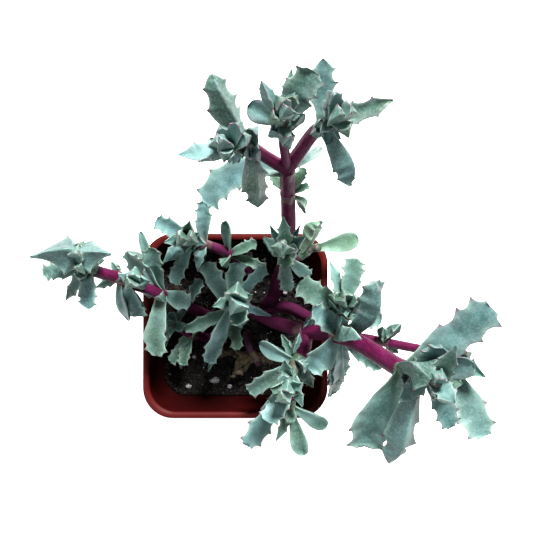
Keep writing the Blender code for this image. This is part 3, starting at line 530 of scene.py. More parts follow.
# Painted shade on the pot's inside walls.
POT_INSIDE_SHADE = (0.012, 0.0006, 0.0006)
SOIL_BLACK = (0.0022, 0.0017, 0.0017)
SOIL_BROWN = (0.011, 0.0085, 0.0075)
SOIL_BARK = (0.036, 0.022, 0.017)
SOIL_PALE = (0.170, 0.160, 0.150)
PERLITE_GREY = (0.130, 0.130, 0.135)
PERLITE_WHITE = (0.400, 0.400, 0.415)
WITHERED_BROWN = (0.062, 0.042, 0.032)
WITHERED_YELLOW = (0.098, 0.076, 0.036)
FLOOR_GREY = (0.93, 0.93, 0.93)
FLOOR_PALE = (0.95, 0.95, 0.95)
FLOOR_GLOW = (1.0, 1.0, 1.0)

# What is marked on the points of each piece, for its finish.
MARKS = ("tooth", "margin_and_highlight", "along", "painted_shade", "tone", "fresh", "grain_x", "grain_y", "grain_z")

# The sockets of a Mix node that mixes colours.
MIX_A, MIX_B, MIX_RESULT = 6, 7, 2


def put(name, data):
    """An object in the scene that shows a mesh, a light or a camera."""
    obj = bpy.data.objects.new(name, data)
    bpy.context.scene.collection.objects.link(obj)
    return obj


class Skin:
    """Points, faces and per-point marks of one piece, in millimetres."""

    def __init__(self):
        self.points = []
        self.faces = []
        self.marks = {name: [] for name in MARKS}

    def add(self, point, **marks):
        self.points.append(point)
        for name in MARKS:
            self.marks[name].append(marks.get(name, 0.0))
        return len(self.points) - 1

    def add_rings(self, rings):
        """Skins rings of (point, marks), with a fan at each end."""
        rows = [[self.add(point, **marks) for point, marks in ring] for ring in rings]
        for lower, upper in zip(rows, rows[1:]):
            for i in range(len(lower)):
                j = (i + 1) % len(lower)
                self.faces.append((lower[i], lower[j], upper[j], upper[i]))
        for row, ring, flip in ((rows[0], rings[0], True), (rows[-1], rings[-1], False)):
            middle = sum((Vector(point) for point, _ in ring), Vector()) / len(ring)
            hub = self.add(middle, **ring[0][1])
            for i in range(len(row)):
                j = (i + 1) % len(row)
                self.faces.append((row[j], row[i], hub) if flip else (row[i], row[j], hub))

    def build(self, name, material):
        """Makes the object, smooth shaded, with its marks as attributes."""
        mesh = bpy.data.meshes.new(name)
        mesh.from_pydata([tuple(Vector(point) * MM) for point in self.points], [], self.faces)
        for mark, values in self.marks.items():
            if any(values):
                attribute = mesh.attributes.new(mark, "FLOAT", "POINT")
                attribute.data.foreach_set("value", np.array(values, np.float32))
        mesh.polygons.foreach_set("use_smooth", np.ones(len(mesh.polygons), bool))
        mesh.materials.append(material)
        mesh.update()
        return put(name, mesh)


def smooth_value(profile, t):
    """The value at t of a smooth curve through (place, value) points."""
    places = [place for place, _ in profile]
    values = [value for _, value in profile]
    i = max(0, min(len(places) - 2, sum(place <= t for place in places) - 1))
    span = places[i + 1] - places[i]
    u = (t - places[i]) / span

    def slope(k):
        if k in (0, len(places) - 1):
            return 0.0
        before = (values[k] - values[k - 1]) / (places[k] - places[k - 1])
        after = (values[k + 1] - values[k]) / (places[k + 1] - places[k])
        return (before + after) / 2 if before * after > 0 else 0.0

    a, b = values[i], values[i + 1]
    m, n = slope(i) * span, slope(i + 1) * span
    return a + m * u + (3 * (b - a) - 2 * m - n) * u**2 + (2 * (a - b) + m + n) * u**3


def toothed_edge(leaf, chance):
    """Half widths in millimetres at each station of one edge, how far each point leans forward,
    and how much of a tooth it is. The edge is hollow from each tooth to the next."""
    half = leaf.width / 2
    form = FORMS[leaf.kind]
    corners = {}
    for place, width in form.teeth:
        station = round((place + chance.uniform(-TOOTH_SHIFT, TOOTH_SHIFT)) * STATIONS)
        corners[min(station, STATIONS - 2)] = width * chance.uniform(*TOOTH_RANGE)
    if len(corners) > 2 and chance.random() < TOOTH_MISSING:
        corners.pop(min(corners))
    first = min(corners, default=STATIONS)
    stalk = [*form.stalk, (first / STATIONS, corners.get(first, form.end))]
    widths = [smooth_value(stalk, i / STATIONS) if i < first else 0.0 for i in range(STATIONS + 1)]
    widths[STATIONS] = form.end
    marks = [*sorted(corners), STATIONS]
    corners[STATIONS] = form.end * chance.uniform(0.6, 1.3)
    for a, b in zip(marks, marks[1:]):
        hollow = form.hollow if b == STATIONS else chance.uniform(*HOLLOW_RANGE)
        for i in range(a, b + 1):
            u = (i - a) / (b - a)
            widths[i] = corners[a] + (corners[b] - corners[a]) * u - hollow * 4 * u * (1 - u)
    lean = [0.0] * (STATIONS + 1)
    tooth = [0.0] * (STATIONS + 1)
    widths = [half * width for width in widths]
    for i in marks[:-1]:
        widths[i] += (SPINE_SHARE * leaf.width + SPINE_LEAST) * chance.uniform(*SPINE_RANGE)
        lean[i] = SPINE_LEAN
        tooth[i] = 1.0
        tooth[i - 1] = RED_BEFORE
        tooth[i + 1] = max(tooth[i + 1], RED_AFTER)
    if form.teeth:
        tooth[STATIONS] = 0.9
        tooth[STATIONS - 1] = max(tooth[STATIONS - 1], 0.4)
    return widths, lean, tooth


def add_leaf(skin, foot, leaf, grows, seed, fresh=0.0):
    """A thick three-edged leaf with toothed edges, channelled above and keeled below."""
    chance = random.Random(seed)
    foot, tip = Vector(foot), Vector(leaf.tip)
    reach = tip - foot
    length = reach.length
    axis = reach.normalized()
    facing = grows + UP * FACE_LIFT
    up = facing - axis * facing.dot(axis)
    if up.length < IN_LINE:
        up = axis.orthogonal()
    up.normalize()
    bend = foot + axis * length * LEAF_BEND_AT + up * length * LEAF_RISE + Vector(leaf.bow)
    up = Matrix.Rotation(math.radians(leaf.roll), 3, axis) @ up
    side = axis.cross(up).normalized()
    keel = KEEL_LEAST + KEEL_SHARE * leaf.width
    twist = math.radians(chance.uniform(-TWIST_DEGREES, TWIST_DEGREES))
    twist *= ROLLED_TWIST if abs(leaf.roll) > 90 else 1
    sway = chance.uniform(-SWAY, SWAY) * length
    channel = (YOUNG_CHANNEL if leaf.kind == "young" else CHANNEL) * leaf.width
    channel *= chance.uniform(*CHANNEL_RANGE)
    crease = chance.uniform(*CREASE_RANGE)
    swell = SWELL * leaf.width
    keel_bulge = FLARE_BULGE if leaf.kind == "flare" else chance.uniform(*BULGE_RANGE)
    ripple = chance.uniform(*RIPPLE_RANGE)
    phase = chance.uniform(0, 6)
    tone = chance.random()
    right_edge = toothed_edge(leaf, chance)
    left_edge = toothed_edge(leaf, chance)
    keel_teeth = {}
    if leaf.kind != "young" and chance.random() < 0.6:
        for _ in range(chance.choice((1, 2))):
            height = chance.uniform(*KEEL_TOOTH_RANGE)
            keel_teeth[round(chance.uniform(*KEEL_TOOTH_SPAN) * STATIONS)] = height

    rings = []
    for i in range(STATIONS + 1):
        t = i / STATIONS
        tangent = ((bend - foot) * 2 * (1 - t) + (tip - bend) * 2 * t).normalized()
        turn = Matrix.Rotation(twist * (t - TWIST_FROM), 3, tangent)
        across = turn @ (side - tangent * side.dot(tangent)).normalized()
        face = across.cross(tangent)
        swing = side * sway * math.sin(math.pi * t)
        middle = foot * (1 - t) ** 2 + bend * 2 * t * (1 - t) + tip * t**2 + swing
        station = length / STATIONS
        depth = keel * smooth_value(FORMS[leaf.kind].keel, t)
        depth_tooth = keel_teeth.get(i, 0.0)
        edges = []
        for way, (widths, lean, tooth) in ((1, right_edge), (-1, left_edge)):
            wave = ripple * min(leaf.width, RIPPLE_WIDTH) * RIPPLE_HEIGHT
            wave *= math.sin(phase + way * RIPPLE_SHIFT + t * RIPPLE_TURN)
            forward = tangent * lean[i] * station
            edges.append(Edge(way * widths[i], wave * min(1, 2.5 * t), forward, tooth[i]))
        right, left = edges
        rounding = EDGE_ROUND * min(1.0, depth / SHALLOW)
        bulge = keel_bulge * depth + 0.04
        marks = {"along": t, "tone": tone, "fresh": fresh}
        # The lower faces are marked for painted shade.
        below = {**marks, "painted_shade": 1.0}

        def at(edge, share, height):
            """A point part way to an edge, and above the flat of the leaf."""
            place = middle + across * edge.width * share
            lift = edge.wave * share**2
            if height > -channel - 0.5:
                rolling = noise.noise(place * 0.24) + 0.45 * noise.noise(place * 0.55)
                lift += swell * rolling * min(1, 4 * t)
            return place + face * (height + lift) + edge.forward * share**3

        def upper(edge, share):
            height = -channel * (1 - share**crease) + rounding * 0.5
            tooth = edge.tooth * share**4
            return at(edge, share, height), {**marks, "tooth": tooth, "margin_and_highlight": UPPER[share]}

        def lower(edge, share):
            height = -rounding - (depth - rounding) * (1 - share) - bulge * 4 * share * (1 - share)
            return at(edge, share, height), below

        def rim(edge):
            return at(edge, 1.0, 0), {**marks, "margin_and_highlight": 1.0, "tooth": edge.tooth}

        def under_rim(edge):
            return at(edge, BELOW_EDGE, -rounding), {**below, "margin_and_highlight": 0.5, "tooth": edge.tooth * 0.8}

        def beside_keel(edge):
            return at(edge, BESIDE_KEEL, -depth - bulge * 0.2), {**below, "margin_and_highlight": 0.3}

        # The keel ridge takes some of the pale margin colour, as a painted highlight.
        ridge = middle - face * (depth + bulge * 0.3 + depth_tooth)
        rings.append([
            *(upper(right, share) for share in UPPER),
            (at(right, 0.0, -channel + rounding * 0.5), marks),
            *(upper(left, share) for share in reversed(UPPER)),
            rim(left), under_rim(left),
            *(lower(left, share) for share in LOWER),
            beside_keel(left),
            (ridge, {**below, "margin_and_highlight": 0.55, "tooth": 1.0 if depth_tooth else 0.0}),
            beside_keel(right),
            *(lower(right, share) for share in reversed(LOWER)),
            under_rim(right), rim(right),
        ])
    skin.add_rings(rings)


def closing_leaves(last, bud, pairs):
    """The young leaves that close a head, each pair turned a quarter from the one below."""
    base, bud = Vector(last.at), Vector(bud)
    rise = bud - base
    axis = rise.normalized()
    spread = Vector(last.leaves[0].tip) - base
    spread = (spread - axis * spread.dot(axis)).normalized()
    for lean, share in CLOSING_PAIRS[len(CLOSING_PAIRS) - pairs:]:
        spread = axis.cross(spread)
        angle = math.radians(lean)
        for way in (1, -1):
            reach = axis * math.cos(angle) + spread * math.sin(angle) * way
            length = rise.length * share
            yield young(*(base + reach * length), length * CLOSING_WIDTH)


def filling_leaves(tier, grows, seed):
    """Two or three small plump leaves that stand between the main leaves of a tier."""
    chance = random.Random(seed)
    at = Vector(tier.at)
    spread = Vector(tier.leaves[0].tip) - at
    spread = (spread - grows * spread.dot(grows)).normalized()
    beside = grows.cross(spread)
    for turn in FILLING_TURNS[:chance.choice((2, 3))]:
        angle = math.radians(turn + chance.uniform(-25, 25))
        lean = math.radians(chance.uniform(*FILLING_LEAN))
        out = spread * math.cos(angle) + beside * math.sin(angle)
        length = chance.uniform(*FILLING_LENGTH)
        tip = at + (grows * math.cos(lean) + out * math.sin(lean)) * length
        make = chance.choice((young, dart))
        yield make(*tip, length * chance.uniform(*FILLING_WIDTH))


def smooth_line(points, step):
    """Points about a step apart on a smooth line through the given ones."""
    line = [Vector(point) for point in points]
    if len(line) == 2:
        line = [line[0], (line[0] + line[1]) / 2, line[1]]
    ends = [2 * line[0] - line[1], *line, 2 * line[-1] - line[-2]]
    smooth = []
    for a, b, c, d in zip(ends, ends[1:], ends[2:], ends[3:]):
        count = max(1, round((c - b).length / step))
        for k in range(count):
            t = k / count
            smooth.append(
                0.5 * (2 * b + (c - a) * t + (2 * a - 5 * b + 4 * c - d) * t**2
                       + (3 * b - a - 3 * c + d) * t**3)
            )
    return [*smooth, line[-1]]


def add_stem(skin, run, seed, sides=STEM_SIDES, ridges=0.035, oval=0.05):
    """A stem: a little oval, with soft ridges along it and a slightly uneven thickness."""
    chance = random.Random(seed)
    line = smooth_line(run.points, STEM_STEP)
    first, last = run.radii
    total = sum((b - a).length for a, b in zip(line, line[1:]))
    phase = chance.uniform(0, 6)
    tone = chance.random()
    across = None
    done = 0.0
    rings = []
    for i, point in enumerate(line):
        ahead = line[min(i + 1, len(line) - 1)] - line[max(i - 1, 0)]
        tangent = ahead.normalized()
        if i:
            done += (point - line[i - 1]).length
        across = tangent.orthogonal() if across is None else across
        across = (across - tangent * across.dot(tangent)).normalized()
        beside = tangent.cross(across)
        share = done / total
        radius = first + (last - first) * share
        radius *= 1 + 0.03 * noise.noise(point * 0.45)
        ring = []
        for k in range(sides):
            angle = 2 * math.pi * k / sides
            x, y = math.cos(angle), math.sin(angle)
            uneven = 1 + oval * math.cos(2 * angle + phase) + ridges * math.cos(5 * angle + phase * 2)
            uneven += 0.012 * noise.noise(Vector((x * 2, y * 2, done * 0.8)))
            marks = {"grain_x": x * radius, "grain_y": y * radius, "grain_z": done + seed * 31.7}
            place = point + (across * x + beside * y) * radius * uneven
            ring.append((place, {"along": share, "tone": tone, **marks}))
        rings.append(ring)
    skin.add_rings(rings)


def stem_at(point):
    """The direction and radius of the stem that passes nearest to a point."""
    point = Vector(point)
    best = None
    for run in (run for runs in STEMS.values() for run in runs):
        line = smooth_line(run.points, 3.0)
        for i, (a, b) in enumerate(zip(line, line[1:])):
            share = max(0.0, min(1.0, (point - a).dot(b - a) / (b - a).length_squared))
            away = (a + (b - a) * share - point).length
            if best is None or away < best[0]:
                along = (i + share) / (len(line) - 1)
                radius = run.radii[0] + (run.radii[1] - run.radii[0]) * along
                best = (away, (b - a).normalized(), radius)
    return best[1], best[2]


def add_sheath(skin, at, direction, radius, leaves, seed, plump):
    """The short collar in which a pair of leaves joins round the stem, widest under the leaves."""
    chance = random.Random(seed)
    at = Vector(at)
    spread = Vector(leaves[0].tip) - at
    spread = spread - direction * spread.dot(direction)
    spread = spread.normalized() if spread.length > IN_LINE else direction.orthogonal()
    beside = direction.cross(spread)
    red = 0.0 if plump > SHEATH_SLIM else 0.72
    # The collar is marked for painted shade among the leaf bases.
    marks = {"along": 0.12, "tone": chance.random(), "painted_shade": 1.0, "tooth": red}
    rings = []
    for height, swell in SHEATH_ROWS:
        ring = []
        for k in range(STEM_SIDES):
            angle = 2 * math.pi * k / STEM_SIDES
            toward = abs(math.cos(angle)) ** 1.5
            out = radius + swell * plump * (0.75 + 0.9 * toward)
            lift = height + 0.5 * toward * (height > -1)
            place = at + (spread * math.cos(angle) + beside * math.sin(angle)) * out
            ring.append((place + direction * lift, marks))
        rings.append(ring)
    skin.add_rings(rings)


def add_core(skin, run, seed):
    """The green young stem inside a head."""
    before = len(skin.points)
    add_stem(skin, run, seed, sides=CORE_SIDES, ridges=0.02)
    # The core is marked for painted shade inside the head.
    for mark, value in (("along", 0.2), ("tooth", 0.56), ("fresh", 0.3), ("painted_shade", 0.8)):
        skin.marks[mark][before:] = [value] * (len(skin.points) - before)


def sway_at(place):
    """A noise in each direction, the same in each run."""
    return Vector([noise.noise(place + Vector(shift)) for shift in SWAY_SHIFTS])


def crumple(skin):
    """Curls and wrinkles dry leaves, more towards their tips."""
    for i, point in enumerate(skin.points):
        place = Vector(point)
        share = min(1.0, 2 * skin.marks["along"][i])
        bend = sum((sway_at(place * size) * reach for size, reach in CRUMPLES), Vector())
        bend.z = abs(bend.z)
        skin.points[i] = place + bend * share


def dress_cluster(name, cluster, material):
    """One head, or the leaves at one node of a stem."""
    skin = Skin()
    seed = sum(ord(letter) * (i + 1) for i, letter in enumerate(name))
    first, last = cluster.tiers[0], cluster.tiers[-1]
    lush = LUSH.get(name, 0.0)
    direction, radius = stem_at(first.at)
    plump = SHEATH_SLIM if cluster.bud is None else SHEATH_PLUMP
    add_sheath(skin, first.at, direction, radius, first.leaves, seed, plump)

    def add_leaves(at, leaves, grows, seeds, i, fresh):
        start, tier_step, leaf_step = seeds
        for j, leaf in enumerate(leaves):
            add_leaf(skin, at, leaf, grows, seed + start + tier_step * i + leaf_step * j, fresh)

    if cluster.bud is not None:
        grows = (Vector(cluster.bud) - Vector(last.at)).normalized()
        points = [*(tier.at for tier in cluster.tiers), tuple(Vector(last.at) + grows * 2.0)]
        add_core(skin, Run((radius + 0.1, max(1.0, 0.62 * radius)), points), seed)
    for i, tier in enumerate(cluster.tiers):
        if cluster.bud is None:
            grows = direction
        else:
            above = cluster.bud if tier is last else cluster.tiers[i + 1].at
            grows = (Vector(above) - Vector(tier.at)).normalized()
        add_leaves(tier.at, tier.leaves, grows, MAIN_SEEDS, i, lush + 0.15 * i)
        if cluster.closing and len(cluster.tiers) > 1 or name in CROWDED:
            filling = filling_leaves(tier, grows, seed + 31 * i)
            add_leaves(tier.at, filling, grows, FILLING_SEEDS, i, lush + 0.3)
    if cluster.bud is not None:
        closing = closing_leaves(last, cluster.bud, cluster.closing)
        add_leaves(last.at, closing, grows, CLOSING_SEEDS, 0, 0.6)
    if name == "withered_leaves":
        crumple(skin)
    obj = skin.build(name + "_dressed", material)
    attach(obj, "root")
    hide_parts(name)
    return obj


def rounded_square(side, corner, height, along_sides=1):
    """The points of a rounded square round the z axis, with some along its straight sides."""
    half = side / 2
    points = []
    for quarter in range(4):
        turn = quarter * math.pi / 2
        flat = []
        for step in range(CORNER_STEPS + 1):
            angle = step / CORNER_STEPS * math.pi / 2
            x, y = (half - corner + corner * way for way in (math.cos(angle), math.sin(angle)))
            flat.append((x, y))
        ahead = (-(half - corner), half)
        last = flat[-1]
        for step in range(1, along_sides):
            share = step / along_sides
            flat.append(tuple(a + (b - a) * share for a, b in zip(last, ahead)))
        cos, sin = math.cos(turn), math.sin(turn)
        points += [Vector((x * cos - y * sin, x * sin + y * cos, height)) for x, y in flat]
    return points


def pot_side(height):
    """The width of the outside of the pot at a height."""
    body = POT_RIM - 2 * LIP_STEP
    return POT_BASE + (body - POT_BASE) * height / POT_HEIGHT


def pot_corner(height):
    """The radius of the pot's corners at a height."""
    return POT_BASE_CORNER + (POT_CORNER - POT_BASE_CORNER) * height / POT_HEIGHT


def wall(height, inset=0.0, along_sides=1):
    """A ring of the pot's wall at a height, set in from its outside."""
    return rounded_square(
        pot_side(height) - 2 * inset, pot_corner(height) - inset, height, along_sides
    )


def lip(height, inset):
    """A ring of the pot's lip at a height, set in from its outside."""
    return rounded_square(POT_RIM - 2 * inset, POT_CORNER - inset, height)


def make_pot(material):
    """The thin square pot: rolled lip, a stacking step inside, a rounded foot and drain holes."""
    low = POT_HEIGHT - LIP_DEPTH
    step = POT_HEIGHT - STACKING_STEP
    outside = [
        rounded_square(POT_BASE - 5, POT_BASE_CORNER - 2.5, 0.35),
        rounded_square(POT_BASE - 4, POT_BASE_CORNER - 2, 0.0),
        rounded_square(POT_BASE - 1.0, POT_BASE_CORNER - 0.5, 0.0),
        rounded_square(POT_BASE - 0.3, POT_BASE_CORNER - 0.15, 0.18),
        wall(0.5), wall(14), wall(28), wall(low - 0.7), lip(low - 0.1, 0.25),
    ]
    rolled = [
        lip(low + 0.15, 0.02), lip(low + 0.4, 0.0),
        lip(POT_HEIGHT - 0.5, 0.0), lip(POT_HEIGHT - 0.2, 0.08), lip(POT_HEIGHT - 0.05, 0.28),
        lip(POT_HEIGHT, 0.55), lip(POT_HEIGHT, 1.1), lip(POT_HEIGHT - 0.1, 1.4),
        wall(POT_HEIGHT - 0.45, 1.02),
    ]
    inside = [
        wall(POT_HEIGHT - 1.2, POT_WALL),
        wall(step + 0.5, POT_WALL), wall(step - 0.2, POT_WALL + 0.25), wall(24, POT_WALL + 0.2),
        wall(POT_FLOOR + 0.6, POT_WALL + 0.2), wall(POT_FLOOR, POT_WALL + 0.8),
    ]
    skin = Skin()
    # The rolled lip is marked for a painted highlight and the inside walls for painted shade.
    skin.add_rings([
        [(point, marks) for point in ring]
        for group, marks in ((outside, {}), (rolled, {"margin_and_highlight": 1.0}), (inside, {"painted_shade": 1.0}))
        for ring in group
    ])
    pot = skin.build("pot_dressed", material)
    for i, (x, y) in enumerate(((1, 1), (-1, 1), (-1, -1), (1, -1))):
        cutter = round_cutter(f"drain_cutter_{i + 1}", x * DRAIN_OFFSET, y * DRAIN_OFFSET)
        modifier = pot.modifiers.new(cutter.name, "BOOLEAN")
        modifier.operation = "DIFFERENCE"
        modifier.object = cutter
        graph = bpy.context.evaluated_depsgraph_get()
        pot.data = bpy.data.meshes.new_from_object(pot.evaluated_get(graph))
        pot.modifiers.clear()
        bpy.data.objects.remove(cutter, do_unlink=True)
    pot.data.set_sharp_from_angle(angle=math.radians(SHARP_DEGREES))
    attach(pot, "root")
    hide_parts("pot")


def round_cutter(name, x, y):
    """A short round bar that cuts one drain hole."""
    mesh = bmesh.new()
    bmesh.ops.create_cone(
        mesh, cap_ends=True, segments=32, radius1=DRAIN_RADIUS * MM, radius2=DRAIN_RADIUS * MM,
        depth=DRAIN_DEPTH * MM,
    )
    bmesh.ops.translate(mesh, verts=mesh.verts, vec=Vector((x, y, 0)) * MM)
    data = bpy.data.meshes.new(name)
    mesh.to_mesh(data)
    mesh.free()
    return put(name, data)


def soil_height(x, y):
    """The height of the uneven soil at a place: it is banked a little against the wall."""
    place = Vector((x, y, 0))
    inside = pot_side(SOIL_TOP) / 2 - POT_WALL - max(abs(x), abs(y))
    bank = max(0.0, min(1.0, 1 - inside / BANK_WIDTH))
    rolling = 0.75 * noise.noise(place * 0.13) + 0.5 * noise.noise(place * 0.45)
    return SOIL_TOP + 0.1 + SOIL_BANK * bank**2 + rolling + 0.3 * noise.noise(place * 1.2)


def make_soil(material):
    """The body of soil, with clearance to the pot and an uneven top in rings."""
    inset = POT_WALL + GAP + SOIL_INSET
    low = POT_FLOOR + GAP + 0.1
    rings = [[(point, {}) for point in wall(height, inset, SIDE_STEPS)] for height in (low, 18)]
    top = wall(SOIL_TOP + SOIL_BANK, inset, SIDE_STEPS)
    for i in range(SOIL_RINGS):
        share = 1 - i / SOIL_RINGS
        ring = []
        for point in top:
            x, y = point.x * share, point.y * share
            ring.append((Vector((x, y, soil_height(x, y) - (0 if i else SOIL_SINK))), {}))
        rings.append(ring)
    skin = Skin()
    skin.add_rings(rings)
    soil = skin.build("soil_dressed", material)
    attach(soil, "root")
    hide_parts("soil")


def unit_ball(cuts):
    """The points and faces of a ball of radius 1."""
    mesh = bmesh.new()
    bmesh.ops.create_icosphere(mesh, subdivisions=cuts, radius=1.0)
    ball = [vert.co.copy() for vert in mesh.verts], [[v.index for v in face.verts] for face in mesh.faces]
    mesh.free()
    return ball


def add_grain(skin, ball, place, size, flat, chance, tone):
    """One irregular grain, from the points of a unit ball."""
    points, faces = ball
    angle = chance.uniform(0, 6.3)
    axis = Vector([chance.gauss(0, 1) for _ in range(3)]).normalized()
    turn = Matrix.Rotation(angle, 3, axis)
    stretch = Vector((size * chance.uniform(0.8, 1.4), size * chance.uniform(0.7, 1.1), size * flat))
    start = Vector((chance.uniform(-50, 50), chance.uniform(-50, 50), 0))
    first = len(skin.points)
    for point in points:
        bumpy = point * (1 + 0.45 * noise.noise(point * 1.6 + start) + 0.2 * noise.noise(point * 4 + start))
        skin.add(place + turn @ Vector(a * b for a, b in zip(bumpy, stretch)), tone=tone)
    skin.faces.extend(tuple(first + i for i in face) for face in faces)


def make_loose_soil(soil_material, fibre_material, perlite_material):
    """Loose grains, fibres and white grit on the soil."""
    chance = random.Random(LOOSE_SEED)
    reach = pot_side(SOIL_TOP) / 2 - POT_WALL - 1.2
    small, fine = unit_ball(1), unit_ball(2)

    def anywhere(edge=0.0):
        return chance.uniform(-reach + edge, reach - edge), chance.uniform(-reach + edge, reach - edge)

    def finish_loose(skin, name, material):
        piece = skin.build(name, material)
        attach(piece, "root")

    crumbs = Skin()
    for _ in range(CRUMBS):
        x, y = anywhere()
        beyond = [max(abs(value) - reach + CRUMB_CORNER, 0) for value in (x, y)]
        if math.hypot(*beyond) > CRUMB_CORNER:
            continue
        size = min(LARGEST_CRUMB, 0.22 * math.exp(chance.gauss(0.35, 0.55)))
        place = Vector((x, y, soil_height(x, y) + size * 0.25))
        flat, tone = chance.uniform(0.5, 1.0), chance.random()
        add_grain(crumbs, fine if size > FINE_CRUMB else small, place, size, flat, chance, tone)
    finish_loose(crumbs, "soil_crumbs", soil_material)

    fibres = Skin()
    for i in range(FIBRES):
        x, y = anywhere(3)
        heading = chance.uniform(0, 6.3)
        length = chance.uniform(1.2, 5.5)
        radius = chance.uniform(0.06, 0.2)
        points = []
        for k in range(FIBRE_POINTS):
            done = length * k / (FIBRE_POINTS - 1)
            ends = x + math.cos(heading) * done, y + math.sin(heading) * done
            heading += chance.uniform(-0.4, 0.4)
            px, py = (max(-reach, min(reach, value)) for value in ends)
            points.append((px, py, soil_height(px, py) + 0.35 + chance.uniform(0, 0.5)))
        run = Run((radius, radius * 0.5), points)
        add_stem(fibres, run, FIBRE_SEED + i, sides=6, ridges=0.0, oval=0.3)
    finish_loose(fibres, "soil_fibres", fibre_material)

    grit = Skin()
    for x, y, size in PERLITE:
        place = Vector((x, y, soil_height(x, y) + size * 0.35))
        add_grain(grit, fine, place, size, 0.75, chance, chance.random())
    for _ in range(GRIT):
        x, y = anywhere()
        size = chance.uniform(0.14, 0.42)
        place = Vector((x, y, soil_height(x, y) + 0.3))
        add_grain(grit, small, place, size, 0.8, chance, chance.random())
    finish_loose(grit, "soil_perlite", perlite_material)


class Nodes:
    """The nodes of a finish or of a group, added one by one."""

    def __init__(self, tree):
        self.tree = tree

    def set(self, node, values):
        """Sets inputs; a value is a number, a colour, or another node's output."""
        for key, value in values.items():
            socket = node.inputs[key]
            if isinstance(value, bpy.types.NodeSocket):
                self.tree.links.new(value, socket)
            else:
                socket.default_value = (*value, 1.0) if socket.type == "RGBA" else value

    def add(self, kind, values, **settings):
        node = self.tree.nodes.new("ShaderNode" + kind)
        for key, value in settings.items():
            setattr(node, key, value)
        self.set(node, values)
        return node.outputs

    def place(self):
        return self.add("TexCoord", {})["Object"]

    def height(self, place):
        return self.add("SeparateXYZ", {0: place})["Z"]

    def mark(self, name):
        return self.add("Attribute", {}, attribute_name=name)["Fac"]

    def times(self, a, b):
        return self.add("Math", {0: a, 1: b}, operation="MULTIPLY")[0]

    def remap(self, value, low, high, new_low=0.0, new_high=1.0):
        values = {"Value": value, "From Min": low, "From Max": high, "To Min": new_low, "To Max": new_high}
        return self.add("MapRange", values)[0]

    def noise(self, place, scale, detail, roughness=0.55):
        values = {"Vector": place, "Scale": scale, "Detail": detail, "Roughness": roughness}
        return self.add("TexNoise", values)["Fac"]

    def mix(self, share, a, b):
        """Two colours mixed by a share; a colour is three numbers or a socket."""
        return self.add("Mix", {0: share, MIX_A: a, MIX_B: b}, data_type="RGBA")[MIX_RESULT]

    def layers(self, colour, *layers):
        """A colour under others, each with a share that varies and the most that it may be."""
        for share, most, over in layers:
            colour = self.mix(self.times(share, most), colour, over)
        return colour

    def bump(self, height, strength, distance, normal=None):
        values = {"Height": height, "Strength": strength, "Distance": distance}
        return self.add("Bump", values | ({} if normal is None else {"Normal": normal}))["Normal"]

    def group(self, name, values):
        return self.add("Group", values, node_tree=bpy.data.node_groups[name])

    def mottle(self, place, scale, detail, low, high, roughness=0.55):
        """Soft patches, as a share from 0 where the noise is low to 1 where it is high."""
        values = {"Place": place, "Scale": scale, "Detail": detail, "Roughness": roughness}
        return self.group("mottling", values | {"Low": low, "High": high})["Share"]


class Finish(Nodes):
    """A material, and the nodes that drive its shader."""

    def __init__(self, name):
        self.material = bpy.data.materials.new(name)
        self.material.use_nodes = True
        super().__init__(self.material.node_tree)

    def shade(self, values):
        self.set(self.tree.nodes["Principled BSDF"], values)
        return self.material


def make_group(name, given, made):
    """A new node group with named inputs and outputs: its nodes, what it is given and its end."""
    tree = bpy.data.node_groups.new(name, "ShaderNodeTree")
    for way, sockets in (("INPUT", given), ("OUTPUT", made)):
        for label, kind in sockets.items():
            tree.interface.new_socket(label, in_out=way, socket_type="NodeSocket" + kind)
    return Nodes(tree), tree.nodes.new("NodeGroupInput").outputs, tree.nodes.new("NodeGroupOutput")


def make_mottling():
    """The group for soft patches, which the finishes of the leaves, the pot, the soil and the loose bits on
    it use.
    """
    numbers = dict.fromkeys(("Scale", "Detail", "Roughness", "Low", "High"), "Float")
    nodes, given, end = make_group("mottling", {"Place": "Vector"} | numbers, {"Share": "Float"})
    clouds = nodes.noise(given["Place"], given["Scale"], given["Detail"], given["Roughness"])
    nodes.set(end, {"Share": nodes.remap(clouds, given["Low"], given["High"])})


def make_bark():
    """The group for the bark of young and old stems: lengthwise streaks and fibres, dark patches,
    a thin greyish film and a duller tone low down."""
    colours = dict.fromkeys(("Main", "Dark", "Light", "Film", "Aged"), "Color")
    nodes, given, end = make_group(
        "bark", {"Place": "Vector", "Grain": "Vector"} | colours,
        {"Colour": "Color", "Streaks": "Float", "Fibres": "Float"},
    )
    place, grain = given["Place"], given["Grain"]
    streaks = nodes.remap(nodes.noise(grain, 2.2, 4, 0.6), 0.34, 0.68)
    fibres = nodes.noise(grain, 9.0, 3)
    colour = nodes.layers(
        nodes.mix(streaks, given["Dark"], given["Main"]),
        (nodes.remap(fibres, 0.46, 0.66), 0.6, given["Light"]),
        (nodes.remap(nodes.noise(place, 190, 4), 0.42, 0.66), 0.5, given["Dark"]),
        (nodes.remap(nodes.noise(place, 120, 3), 0.46, 0.70), 0.07, given["Film"]),
        (nodes.remap(nodes.height(place), 0.070, 0.052), 0.5, given["Aged"]),
    )
    nodes.set(end, {"Colour": colour, "Streaks": streaks, "Fibres": fibres})


